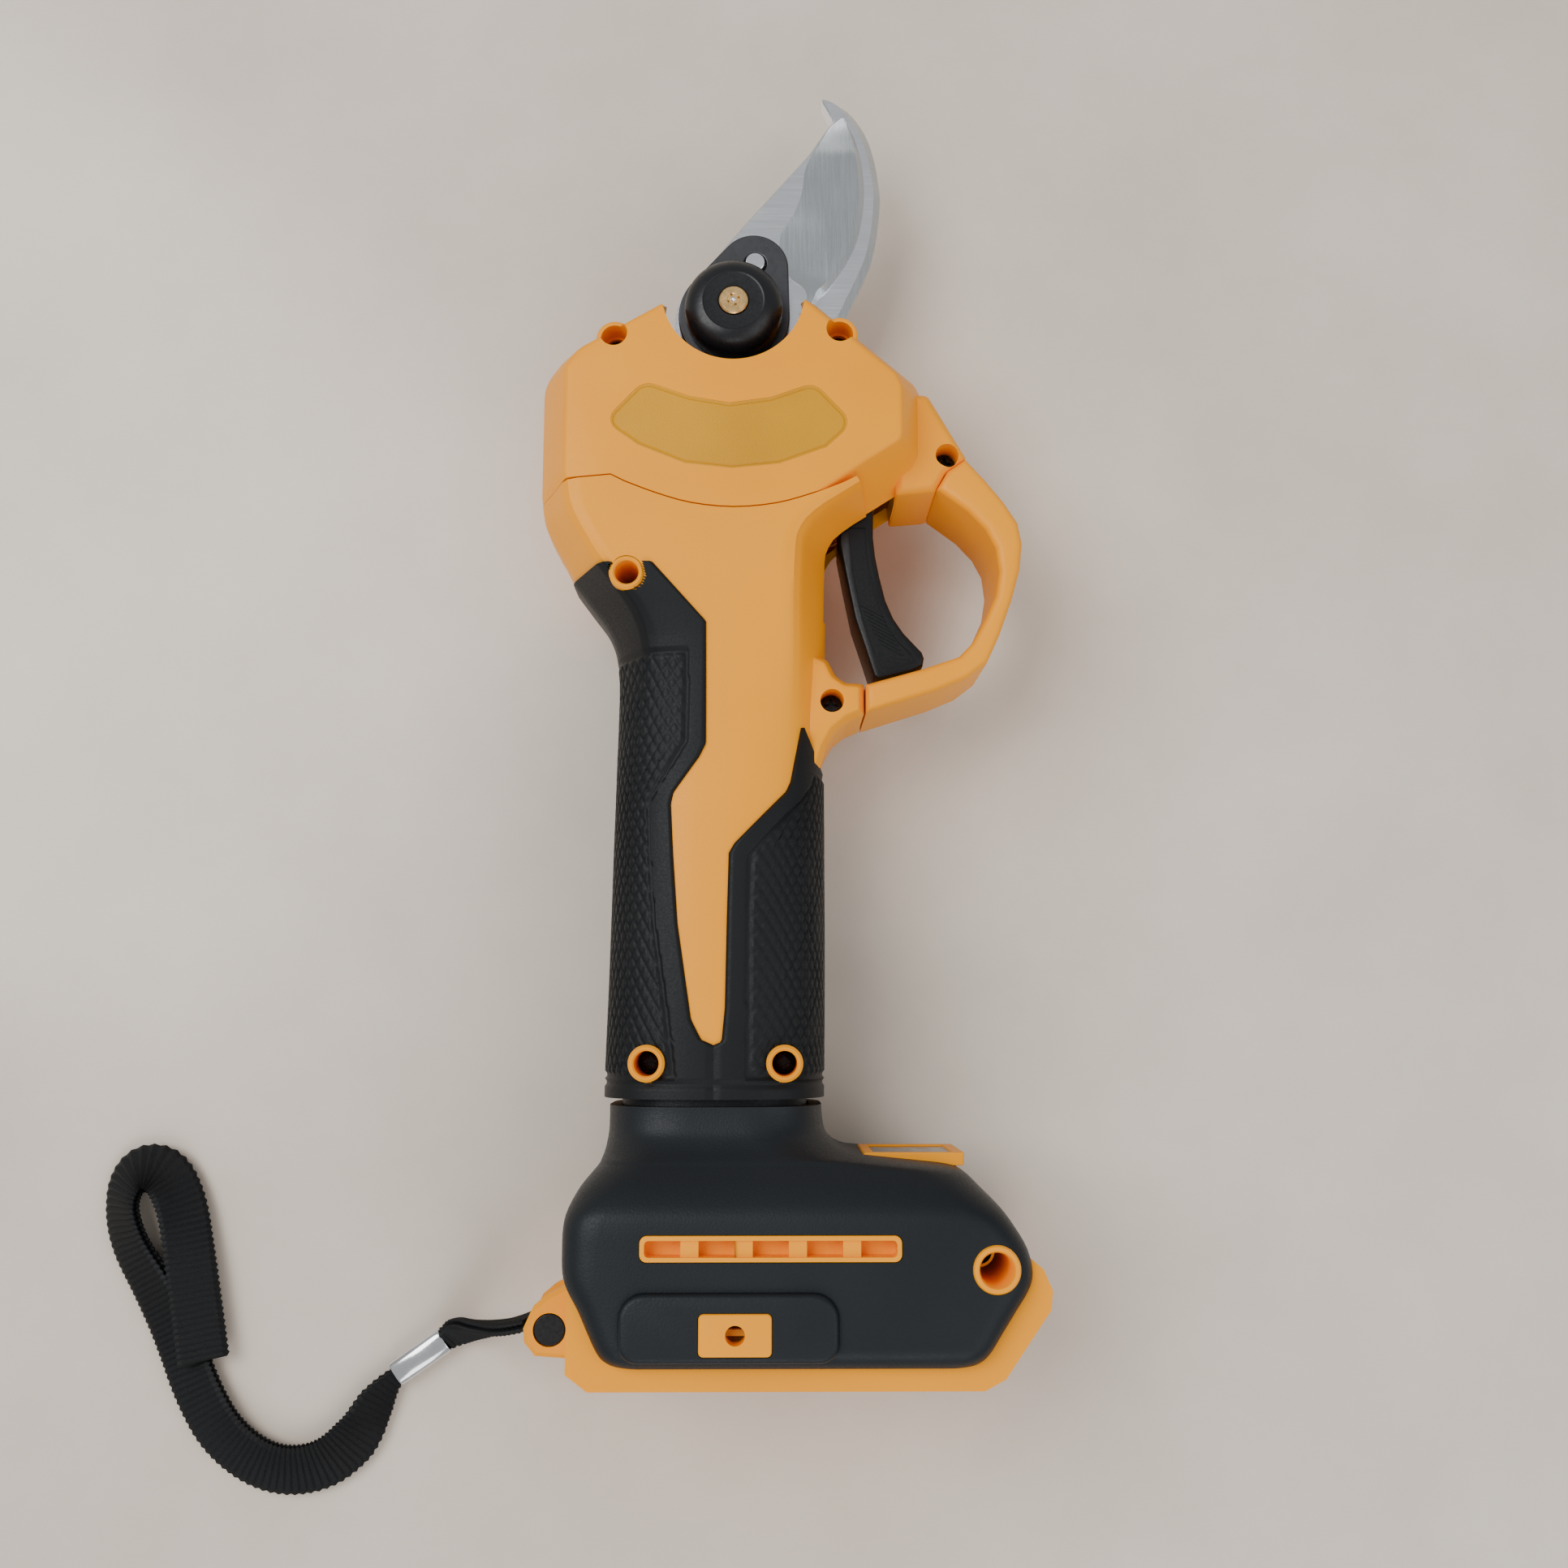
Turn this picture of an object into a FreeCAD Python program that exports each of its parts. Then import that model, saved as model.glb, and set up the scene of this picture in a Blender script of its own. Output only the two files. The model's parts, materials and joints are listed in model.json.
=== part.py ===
import FreeCAD, Part
import math
import os
from types import SimpleNamespace
from FreeCAD import Placement, Rotation, Vector

# Battery pruner, modelled in its own frame and laid on its side at the end.
# Origin: the blade pivot on the parting plane. +X is the trigger side, +Y the blades, +Z the upper side.

doc = FreeCAD.newDocument("Pruner")
sheet = doc.addObject("Spreadsheet::Sheet", "Sizes")
sizeRows = [
    ("headHalfWidth", 39.4, "gear head, half its width"),
    ("headHalfThick", 22.0, "gear head, half its thickness"),
    ("headSide", 6.0, "gear head, half the height of its straight side"),
    ("shoulder", 6.5, "width of the sloping band round the head"),
    ("wall", 2.4, "thickness of the moulded shells"),
    ("seamDrop", 38.0, "pivot to the seam between head cover and main shell"),
    ("seamGap", 0.3, "gap along the cover seams"),
    ("gripHalfWidth", 20.6, "grip without rubber, half its width"),
    ("gripHalfThick", 18.8, "grip without rubber, half its thickness"),
    ("gripOffset", 3.0, "grip centre line, left of the pivot"),
    ("gripLength", 154.6, "pivot to the lower end of the rubber"),
    ("rubber", 0.8, "thickness of the rubber over the grip"),
    ("footHalfThick", 29.5, "battery foot, half its thickness"),
    ("footLeft", 30.0, "pivot to the left side of the foot"),
    ("footRight", 55.0, "pivot to the right side of the foot"),
    ("footLength", 45.0, "height of the foot cover, along the grip"),
    ("padRise", 1.5, "rise of the pad round the latch window"),
    ("rimReach", 4.5, "battery frame below the foot cover"),
    ("frameHalfThick", 24.0, "battery frame, half its thickness"),
    ("bayHalfWidth", 20.5, "battery bay, half its width"),
    ("bladeReach", 53.0, "pivot to the tip of the cutting blade"),
    ("bladeThick", 4.0, "thickness of the cutting blade"),
    ("hookThick", 5.0, "thickness of the hook blade"),
    ("tangRadius", 12.5, "round of each blade about the pivot"),
    ("boltRadius", 4.0, "pivot bolt"),
    ("fitGap", 0.04, "radial clearance of the running fits"),
    ("nutRadius", 10.0, "pivot nut"),
    ("nutHeight", 7.4, "height of the pivot nut"),
    ("lockThick", 2.5, "thickness of the lock plate"),
    ("hubThick", 2.0, "thickness of the bevel segment's hub"),
    ("notchRadius", 14.3, "round notch in the head about the pivot"),
    ("coneReach", 19.4, "pivot to the outer end of the bevel teeth"),
    ("toothFace", 4.6, "length of the bevel teeth"),
    ("motorRadius", 14.5, "motor can"),
    ("motorLength", 44.0, "length of the motor can"),
    ("gearWidth", 6.0, "width of the planet gears"),
    ("gearModule", 0.64, "module of the planet gears"),
    ("shaftRadius", 1.6, "motor shaft"),
    ("outputRadius", 4.0, "output shaft"),
    ("triggerHalf", 7.0, "trigger, half its thickness"),
    ("triggerPin", 1.5, "radius of the trigger pin"),
    ("triggerBoss", 4.0, "radius of the trigger boss"),
    ("guardHalf", 12.0, "trigger guard, half its thickness"),
    ("screwHead", 2.2, "radius of the housing screw heads"),
    ("screwShank", 1.45, "radius of the housing screws"),
    ("ringRadius", 3.45, "outer radius of the screw towers"),
    ("lugGap", 11.0, "gap between the two ears of the strap lug"),
    ("lugEar", 3.0, "thickness of each ear"),
    ("strapTube", 1.7, "radius of the strap's core"),
]
for row, (alias, value, note) in enumerate(sizeRows, 1):
    sheet.set("A%d" % row, note)
    sheet.set("B%d" % row, str(value))
    sheet.setAlias("B%d" % row, alias)
doc.recompute()
s = SimpleNamespace(**{alias: float(sheet.get(alias)) for alias, value, note in sizeRows})

pieces = []
up = Vector(0, 0, 1)
along = Vector(0, 1, 0)
alongTurn = Rotation(Vector(1, 0, 0), -90)


def keep(piece, label):
    piece.Label = label
    pieces.append(piece)
    return piece


def feature(label, shape):
    piece = doc.addObject("Part::Feature", label)
    piece.Shape = shape
    return keep(piece, label)


def bind(piece, **formulas):
    for name, formula in formulas.items():
        piece.setExpression(name.replace("_", "."), formula)


# Solids for the moulded and machined shapes.

def ring(points, z):
    corners = [Vector(x, y, z) for x, y in points]
    return Part.makePolygon(corners + corners[:1])


def prism(points, low, high):
    return Part.Face(ring(points, low)).extrude(Vector(0, 0, high - low))


def post(x, y, radius, low, high):
    return Part.makeCylinder(radius, high - low, Vector(x, y, low), up)


def tube(radius, front, back, bore=0.0):
    """Round bar along the gear axis, from one Y to a lower Y."""
    bar = Part.makeCylinder(radius, front - back, Vector(0, back, 0), along)
    if bore:
        bar = bar.cut(Part.makeCylinder(bore, front - back, Vector(0, back, 0), along))
    return bar


def block(x, y, z):
    return Part.makeBox(x[1] - x[0], y[1] - y[0], z[1] - z[0], Vector(x[0], y[0], z[0]))


def inset(points, distance):
    """Corners of the outline moved inwards; the outline runs counter-clockwise."""
    moved = []
    count = len(points)
    for k in range(count):
        before, here, after = points[k - 1], points[k], points[(k + 1) % count]
        ax, ay = here[0] - before[0], here[1] - before[1]
        bx, by = after[0] - here[0], after[1] - here[1]
        aLength, bLength = math.hypot(ax, ay), math.hypot(bx, by)
        nax, nay = -ay / aLength, ax / aLength
        nbx, nby = -by / bLength, bx / bLength
        share = distance / (1 + nax * nbx + nay * nby)
        moved.append((here[0] + share * (nax + nbx), here[1] + share * (nay + nby)))
    return moved


def shoulderBlock(points, side, half, band):
    top = inset(points, band)
    wires = [ring(top, -half), ring(points, -side), ring(points, side), ring(top, half)]
    return Part.makeLoft(wires, True, True)


def grown(points, grow):
    return inset(points, -grow)


def sideProfile(points):
    """Prism across the tool from a half profile of (y, z), mirrored about the parting plane."""
    corners = [Vector(-90, y, z) for y, z in points]
    corners += [Vector(-90, y, -z) for y, z in reversed(points)]
    return Part.Face(Part.makePolygon(corners + corners[:1])).extrude(Vector(190, 0, 0))


def superEllipse(y, left, right, half, power):
    centre, width = (left + right) / 2, (right - left) / 2
    points = []
    for k in range(24):
        angle = 2 * math.pi * k / 24
        c, d = math.cos(angle), math.sin(angle)
        x = centre + width * math.copysign(abs(c) ** (2 / power), c)
        z = half * math.copysign(abs(d) ** (2 / power), d)
        points.append(Vector(x, y, z))
    curve = Part.BSplineCurve()
    curve.interpolate(points, PeriodicFlag=True)
    return Part.Wire([curve.toShape()])


def pathEdges(start, steps):
    """Lines and three-point arcs; a step is an end point, or a (middle, end) pair."""
    edges = []
    here = Vector(*start, 0)
    for step in steps:
        if isinstance(step[0], tuple):
            end = Vector(*step[1], 0)
            edges.append(Part.Arc(here, Vector(*step[0], 0), end))
        else:
            end = Vector(*step, 0)
            edges.append(Part.LineSegment(here, end))
        here = end
    return edges


# PartDesign plates: a sketch on the XY plane, padded upwards.

def plate(label, edges, bottom, thickness, rim=0.0):
    body = doc.addObject("PartDesign::Body", label)
    sketch = body.newObject("Sketcher::SketchObject", label + "_outline")
    plane = next(f for f in body.Origin.OriginFeatures if f.Role == "XY_Plane")
    sketch.AttachmentSupport = [(plane, "")]
    sketch.MapMode = "FlatFace"
    sketch.AttachmentOffset = Placement(Vector(0, 0, bottom), Rotation())
    for edge in edges:
        sketch.addGeometry(edge)
    pad = body.newObject("PartDesign::Pad", label + "_pad")
    pad.Profile = sketch
    pad.setExpression("Length", thickness)
    doc.recompute()
    if rim:
        chamfer = body.newObject("PartDesign::Chamfer", label + "_rim")
        top = max(face.CenterOfMass.z for face in pad.Shape.Faces)
        names = []
        for k, edge in enumerate(pad.Shape.Edges, 1):
            if abs(edge.CenterOfMass.z - top) < 1e-6:
                names.append("Edge%d" % k)
        chamfer.Base = (pad, names)
        chamfer.Size = rim
        doc.recompute()
    return keep(body, label)


def circle(x, y, radius):
    return Part.Circle(Vector(x, y, 0), up, radius)


# Levels of the pivot stack, from the hook blade up.
hookTop = 2.0
hookBottom = hookTop - s.hookThick
bladeBottom = hookTop + 0.05
bladeTop = bladeBottom + s.bladeThick
hubTop = bladeTop + s.hubThick
lockTop = hubTop + s.lockThick
nutBottom = lockTop + 0.05
nutTop = nutBottom + s.nutHeight
boltHeadTop = -15.0
boltHeadDepth = 4.0

# Levels along the gear axis, from the bevel teeth down.
caseFront = -s.coneReach - s.toothFace
bearingFront = caseFront - 1.0
bearingBack = bearingFront - 6.0
caseBack = bearingBack - 1.0
carrierFront = caseBack - 0.5
carrierBack = carrierFront - 2.5
planetFront = carrierBack - 0.3
planetBack = planetFront - s.gearWidth
motorFront = planetBack - 2.5
motorBack = motorFront - s.motorLength
capBack = motorBack - 5.0

# Outlines.
hw = s.headHalfWidth
gripLeft = -s.gripOffset - s.gripHalfWidth
gripRight = -s.gripOffset + s.gripHalfWidth
bodyOutline = [
    (gripLeft + 1.6, -88), (gripRight, -88), (gripRight + 1.6, -72), (gripRight + 1.6, -49.5),
    (gripRight + 3.9, -46), (gripRight + 10.2, -41.7), (hw - 1.6, -35.2), (hw + 0.5, -31),
    (hw + 0.5, -18), (hw - 1.8, -13), (16.6, 5.0), (-15.8, 3.8), (4.4 - hw, -7.4), (-hw, -13.5),
    (-hw, -38), (2 - hw, -46), (-31.8, -56.3), (gripLeft - 1, -65.6), (gripLeft + 1.6, -72),
]
seamMiddle = (0.3, -s.seamDrop - 6.5)
seamLeft = (-23.8, -s.seamDrop)
seamRight = (24.4, -s.seamDrop)
collarY = -s.gripLength - 1.0
collarEnd = collarY - 2.6
footTop = collarEnd - 1.5
footBottom = footTop - s.footLength
rimBottom = footBottom - s.rimReach
gripStations = [(-64, 0.8, 0.2), (-84, 0.4, 0.0), (-110, 0.9, 0.1), (-135, 1.5, 0.1),
                (collarEnd, 2.0, -0.1)]


def gripForm(grow):
    wires = []
    for y, leftMore, rightMore in gripStations:
        left, right = gripLeft + 1.6 - leftMore - grow, gripRight + rightMore + grow
        wires.append(superEllipse(y, left, right, s.gripHalfThick + grow, 2.7))
    return Part.makeLoft(wires, True, True)


def headForm(grow):
    outer = grown(bodyOutline, grow) if grow else bodyOutline
    half = s.headHalfThick + grow
    form = shoulderBlock(outer, s.headSide, half, s.shoulder)
    slope = [(20, half + 1), (-50, half), (-66, s.gripHalfThick + grow + 1.4),
             (-84, s.gripHalfThick + grow - 0.4), (-95, s.gripHalfThick + grow - 0.8)]
    return form.common(sideProfile(slope))


def bodyForm(grow):
    return headForm(grow).fuse(gripForm(grow)).removeSplitter()


outerForm = bodyForm(0)
innerForm = bodyForm(-s.wall)
shellForm = outerForm.cut(innerForm)

# Head cover region above the seam, and the main shell's region below it.
seamSteps = [(seamMiddle, seamRight), (27.5, seamRight[1] - 4), (29, -49), (90, -49), (90, 30), (-90, 30),
             (-90, seamLeft[1] - 1.2), (-36, seamLeft[1] - 1.2)]


def seamFace(drop):
    edges = pathEdges(seamLeft, seamSteps + [seamLeft])
    wire = Part.Wire([edge.toShape() for edge in edges])
    wire.translate(Vector(0, -drop, -60))
    return Part.Face(wire).extrude(Vector(0, 0, 120))


headRegion = seamFace(0)
headGrown = seamFace(s.seamGap)
upperHalf = block((-95, 95), (-260, 60), (0, 60))
lowerHalf = block((-95, 95), (-260, 60), (-60, 0))

# Places of the screws: each tower runs through both halves.
headScrews = [(-23.7, -8.8), (21.3, -7.7)]
earScrew = (43.4, -30.2)
shellHole = (-20.4, -57.8)
stubScrew = (gripRight + 2.2, -81.1)
gripScrews = [(-15.5, 2.9 - s.gripLength), (10.3, 2.9 - s.gripLength)]
footHole = (s.footRight - 7.2, footTop - 27.8)
screwSeat = 4.0
screwDepth = 12.0


def tower(x, y, radius, top):
    return post(x, y, radius, -top, top)


def bored(shape, x, y):
    """Counterbore from above, clearance through, and the screw's hole below."""
    shape = shape.cut(post(x, y, s.screwHead + 0.15, screwSeat, 60))
    shape = shape.cut(post(x, y, s.screwShank + 0.1, -screwDepth - 0.5, screwSeat))
    return shape.cut(post(x, y, s.screwHead + 0.15, -60, -screwDepth - 4))


# Head covers: horns each side of a round notch, with the blade slot between them.
earOutline = [(hw - 6.4, -38.3), (41, -37.6), (43.2, -33.6), (47.6, -30.6), (39.8, -17), (hw - 6.4, -16.3)]
bladeSlot = [(-19.5, -14.5), (17, -14.5), (17.2, -2.6), (23.5, -1.5), (28, 8), (28, 25), (-19.5, 25)]
triggerSlot = [(16.2, -64), (31.5, -64), (34.5, -46), (31.5, -30), (19.5, -30), (16.2, -44)]
earBlock = shoulderBlock(earOutline, s.guardHalf - 2.5, s.guardHalf, 1.6)
headShell = outerForm.common(headRegion).fuse(earBlock).cut(innerForm)
for x, y in headScrews:
    headShell = headShell.fuse(tower(x, y, s.ringRadius + 0.15, s.headHalfThick - 3))
headShell = headShell.cut(post(0, 0, s.notchRadius, -60, 60))
headShell = headShell.cut(prism(bladeSlot, hookBottom - 0.5, hubTop + 0.4))
pinBoss = (25.5, -37.0)
pinReach = 11.0
for low, high in ((s.triggerHalf, s.headHalfThick - 1), (1 - s.headHalfThick, -s.triggerHalf)):
    headShell = headShell.fuse(post(pinBoss[0], pinBoss[1], 3.2, low, high).common(headRegion))
headShell = headShell.cut(prism(triggerSlot, -s.triggerHalf - 0.6, s.triggerHalf + 0.6))
headShell = headShell.cut(post(pinBoss[0], pinBoss[1], s.triggerPin + 0.02, -pinReach, pinReach))
for x, y in headScrews + [earScrew]:
    headShell = bored(headShell, x, y)
labelDepth = 0.6
labelOutline = [(-22.5, -27.9), (-17, -32.3), (-9.4, -35.6), (0, -36.6), (9.4, -35.6), (17.5, -32.6),
                (22.3, -28.6), (22.3, -26.4), (15.6, -19.9), (7.6, -22.2), (-0.4, -23.2), (-8.4, -22.4),
                (-16.2, -19.9)]
labelBottom = s.headHalfThick - labelDepth
for sign in (1, -1):
    low, high = sorted((sign * labelBottom, sign * (s.headHalfThick + 1)))
    headShell = headShell.cut(prism(grown(labelOutline, 0.15), low, high))
feature("head_cover_upper", headShell.common(upperHalf))
feature("head_cover_lower", headShell.common(lowerHalf))
feature("label_plate_upper", prism(labelOutline, labelBottom, s.headHalfThick - 0.15))
feature("label_plate_lower", prism(labelOutline, 0.15 - s.headHalfThick, -labelBottom))

# Main shells: the neck and grip, with the stub that carries the guard's lower end.
stubOutline = [(14, -84.5), (19.6, -86.5), (26.3, -84.0), (26.3, -77.2), (20.5, -77.2),
               (gripRight + 1.2, -74.5), (14, -74)]
stub = shoulderBlock(stubOutline, s.guardHalf - 2.5, s.guardHalf, 1.6).cut(innerForm)
mainShell = shellForm.cut(headGrown).fuse(stub)
mainTowers = [shellHole, stubScrew] + gripScrews
for x, y in mainTowers:
    mainShell = mainShell.fuse(tower(x, y, s.ringRadius, 22).common(outerForm.fuse(stub)))
    mainShell = bored(mainShell, x, y)
mainShell = mainShell.cut(prism(triggerSlot, -s.triggerHalf - 0.6, s.triggerHalf + 0.6))
mainShell = mainShell.cut(block((-60, 60), (-260, collarEnd), (-60, 60)))
feature("main_shell_upper", mainShell.common(upperHalf))
feature("main_shell_lower", mainShell.common(lowerHalf))

# Rubber over the grip: the skin between two forms, inside the black area's outline.
rubberOutline = [
    (-60, -56), (-15.6, -55.8), (-5, -67.2), (-4.9, -91), (-11.3, -100.5), (-11.8, -102.6), (-10.2, -125.6),
    (-7.4, -143.5), (-5.4, -147.3), (-3, -148.3), (-1.5, -147.7), (-0.9, -141.4), (-0.3, -112.2),
    (11.1, -100), (13, -93), (14.2, -87.1), (17.8, -94), (19.5, -96.5), (60, -96.5), (60, collarEnd + 0.3),
    (-60, collarEnd + 0.3),
]
rubberForm = bodyForm(s.rubber).cut(outerForm)
rubberPrism = prism(rubberOutline, -60, 60)
rubberSkin = rubberForm.common(rubberPrism)
for x, y in [shellHole] + gripScrews:
    rubberSkin = rubberSkin.cut(post(x, y, s.ringRadius + 0.05, -60, 60))
grooveBox = block((-60, 60), (collarY - 0.1, collarY + 0.5), (-60, 60))
rubberSkin = rubberSkin.cut(grooveBox)
rubberSkin = rubberSkin.cut(stub)
feature("grip_rubber_upper", rubberSkin.common(upperHalf))
feature("grip_rubber_lower", rubberSkin.common(lowerHalf))

# Trigger guard: a loop in front of the trigger, let in between the ear and the stub.
guardOuter = [(50.6, -73.4), (46.3, -76.7), (40, -79.4), (26.6, -83.4), (26.6, -77.9), (38, -74.4),
              (45.3, -71.9), (47.8, -69.3), (50.6, -64.3), (53.4, -58.5), (54.6, -52), (52.6, -45.6),
              (48.5, -41.6), (41.3, -37.2), (43.5, -33.4), (47.9, -30.4), (57, -38.6), (59.4, -43.5),
              (59.4, -51), (57.3, -58), (53.2, -68.8)]
guardPath = list(reversed(guardOuter))
guard = shoulderBlock(guardPath, s.guardHalf - 2.0, s.guardHalf, 1.2)
feature("trigger_guard", guard)

# Foot: two black covers over the battery frame.
fl, fr = -s.footLeft, s.footRight
footOutline = [
    (fl + 11.5, footBottom), (fr - 11, footBottom), (fr - 7.5, footBottom + 2), (fr, footTop - 30.2),
    (fr - 0.3, footTop - 24.8), (fr - 12.3, footTop - 11), (22.5, footTop - 9), (19.3, footTop - 6.5),
    (17.6, footTop), (-22.1, footTop), (-22.1, footTop - 6), (-24.5, footTop - 10.5),
    (fl + 1.5, footTop - 17), (fl, footTop - 21), (fl, footTop - 29), (fl + 3.8, footTop - 36.5),
    (fl + 7.5, footBottom + 1.2),
]
neckHalf = s.gripHalfThick + s.rubber
footProfile = [(footTop + 1, neckHalf), (footTop - 5, neckHalf + 0.6), (footTop - 10, neckHalf + 4),
               (footTop - 20.5, s.footHalfThick), (footBottom + 3.5, s.footHalfThick),
               (footBottom, s.footHalfThick - 3.5), (footBottom - 1, s.footHalfThick - 3.5)]


def footForm(shrink):
    half = s.footHalfThick - shrink
    outline = inset(footOutline, shrink) if shrink else footOutline
    form = shoulderBlock(outline, half - 6, half, 4.0)
    profile = [(y, z - shrink) for y, z in footProfile]
    return form.common(sideProfile(profile))


frameOutline = [
    (fl + 5, rimBottom), (fr - 9, rimBottom), (fr - 5.2, rimBottom + 2), (fr + 3.2, footTop - 35.6),
    (fr + 3.6, footTop - 32.3), (fr + 2, footTop - 28.5), (fr - 4, footTop - 23.5), (fr - 12, footTop - 22.5),
    (fr - 12, footTop - 33.5), (fl + 6, footTop - 33.5), (fl + 1.2, footTop - 32), (fl + 1, rimBottom + 3),
]
deckTop = footTop - 35.0
deckBottom = deckTop - 2.5
frame = prism(frameOutline, -s.frameHalfThick, s.frameHalfThick)
hollowAbove = block((fl + 4, 90), (deckTop, footTop - 10), (-s.frameHalfThick + 2.5, s.frameHalfThick - 2.5))
bay = block((fl + 4.5, 90), (rimBottom - 5, deckBottom), (-s.bayHalfWidth, s.bayHalfWidth))
railLip = 3.0
rail = 2.2
frame = frame.cut(hollowAbove).cut(bay)
for sign in (1, -1):
    low, high = sorted((sign * (s.bayHalfWidth - railLip), sign * s.bayHalfWidth))
    frame = frame.fuse(block((fl + 4.5, fr - 10), (rimBottom, rimBottom + rail), (low, high)))
lugOutline = [(fl + 1.2, rimBottom + 2.4), (-36.6, rimBottom + 3.0), (-38.7, rimBottom + 5.5),
              (-38.9, rimBottom + 8), (-37.1, rimBottom + 12), (-34.7, rimBottom + 14),
              (fl + 1.2, rimBottom + 17)]
lugOutline = list(reversed(lugOutline))
lugScrewAt = (-33.9, rimBottom + 7.8)
lugHalf = s.lugGap / 2 + s.lugEar
lug = shoulderBlock(lugOutline, lugHalf - 0.8, lugHalf, 0.8)
lug = lug.cut(block((-60, fl + 1.1), (-260, -150), (-s.lugGap / 2, s.lugGap / 2)))
frame = frame.fuse(lug.cut(post(lugScrewAt[0], lugScrewAt[1], 2.0, -60, 60)))
frame = frame.cut(post(lugScrewAt[0], lugScrewAt[1], 3.1, lugHalf - 1.6, 60))
frame = frame.cut(post(footHole[0], footHole[1], 4.5, -60, 60))
feature("battery_frame", frame.removeSplitter())

frameRoom = prism(grown(frameOutline, 0.15), -s.frameHalfThick - 0.15, s.frameHalfThick + 0.15)
footInside = footForm(s.wall).common(block((-90, 90), (footBottom, footTop - s.wall), (-60, 60)))
footShell = footForm(0).cut(footInside)
# A thin neck stands on the foot and reaches up inside the grip, so that the joint shows no gap.
neckTop = collarEnd + 2.5


def neckPrism(shrink, bottom):
    gap = s.wall + shrink
    wire = superEllipse(neckTop, gripLeft - 0.4 + gap, gripRight - 0.1 - gap, s.gripHalfThick - gap, 2.7)
    return Part.Face(wire).extrude(Vector(0, bottom - neckTop, 0))


footShell = footShell.fuse(neckPrism(0.3, footTop - 1)).cut(neckPrism(1.8, footTop - s.wall - 3))
bottomHole = block((fl + 3, fr - 8), (footBottom - 2, footBottom + s.wall + 1),
                   (s.wall - s.footHalfThick, s.footHalfThick - s.wall))
footShell = footShell.cut(bottomHole)
padOutline = [(-19, footBottom + 4), (-15, footBottom + 1.2), (15.6, footBottom + 1.2),
              (19.6, footBottom + 4), (19.6, footTop - 34.5), (16.5, footTop - 31.6),
              (-16, footTop - 31.6), (-19, footTop - 34.5)]
padTop = s.footHalfThick + s.padRise
pad = shoulderBlock(padOutline, padTop - 1.0, padTop, 1.0)
pad = pad.cut(block((-90, 90), (-260, 0), (s.wall - s.footHalfThick, s.footHalfThick - s.wall)))
footShell = footShell.fuse(pad)
footTower = tower(footHole[0], footHole[1], 4.4, s.footHalfThick - 0.4)
footShell = footShell.fuse(footTower.cut(block((-90, 90), (-260, 0), (-4, 4))))
footShell = footShell.cut(post(footHole[0], footHole[1], 3.0, 5.5, 60))
footShell = footShell.cut(post(footHole[0], footHole[1], s.screwShank + 0.1, -screwDepth - 0.5, 5.5))
ventY = footTop - 24.1
ventX = (-15.6, 31.0)
ventHalf = 2.25
ventDepth = 2.6
latchX = (-5.0, 7.9)
latchY = (footTop - 42.2, footTop - 34.9)
latchBottom = s.footHalfThick - 2.4
windowTop = padTop + 0.35


def ventForm(grow):
    x0, x1 = ventX
    y0, y1 = ventY - ventHalf - grow, ventY + ventHalf + grow
    return block((x0 + 1.2 - grow, x1 - 1.2 + grow), (y0, y1), (-60, 60))


def middleCut(shape, depth):
    return shape.cut(block((-90, 90), (-260, 0), (-depth, depth)))


footShell = footShell.cut(middleCut(ventForm(0.05), s.footHalfThick - ventDepth - 1))
latchRoom = block((latchX[0] - 0.05, latchX[1] + 0.05), (latchY[0] - 0.05, latchY[1] + 0.05), (-60, 60))
footShell = footShell.cut(middleCut(latchRoom, latchBottom - 1))
bezelX = (25.4, 44.6)
bezelHalf = 11.0
displayBox = block((bezelX[0], bezelX[1]), (0, 2.4), (-bezelHalf, bezelHalf))
displayAt = Placement(Vector(0, footTop - 9.9 - 1.4, 0), Rotation(up, 0))
displayRoom = displayBox.copy()
displayRoom.Placement = displayAt
footShell = footShell.cut(displayRoom)
boardRoom = block((bezelX[0] + 0.9, bezelX[1] - 0.9), (-2.5, 0), (0.9 - bezelHalf, bezelHalf - 0.9))
boardRoom.Placement = displayAt
footShell = footShell.cut(boardRoom)
footShell = footShell.cut(frameRoom)
feature("foot_cover_upper", footShell.common(upperHalf))
feature("foot_cover_lower", footShell.common(lowerHalf))

# Vent grilles and latch windows, one each side of the foot.
ventSlots = 5
ventRib = 3.3
ventFrame = 1.1
ventSpan = ventX[1] - ventX[0] - 2.4 - 2 * ventFrame
slotLength = (ventSpan - (ventSlots - 1) * ventRib) / ventSlots
for side, sign in (("upper", 1), ("lower", -1)):
    outer = s.footHalfThick + 0.25
    low, high = sorted((sign * (s.footHalfThick - ventDepth), sign * outer))
    bars = ventForm(0).common(block((-90, 90), (-260, 0), (low, high)))
    for k in range(ventSlots):
        x0 = ventX[0] + 1.2 + ventFrame + k * (slotLength + ventRib)
        y = (ventY - ventHalf + ventFrame, ventY + ventHalf - ventFrame)
        bars = bars.cut(block((x0, x0 + slotLength), y, (-60, 60)))
    feature("vent_grille_" + side, bars)
    low, high = sorted((sign * latchBottom, sign * windowTop))
    window = block(latchX, latchY, (low, high))
    feature("latch_window_" + side, window.cut(post(1.45, sum(latchY) / 2, 1.8, -60, 60)))

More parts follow.
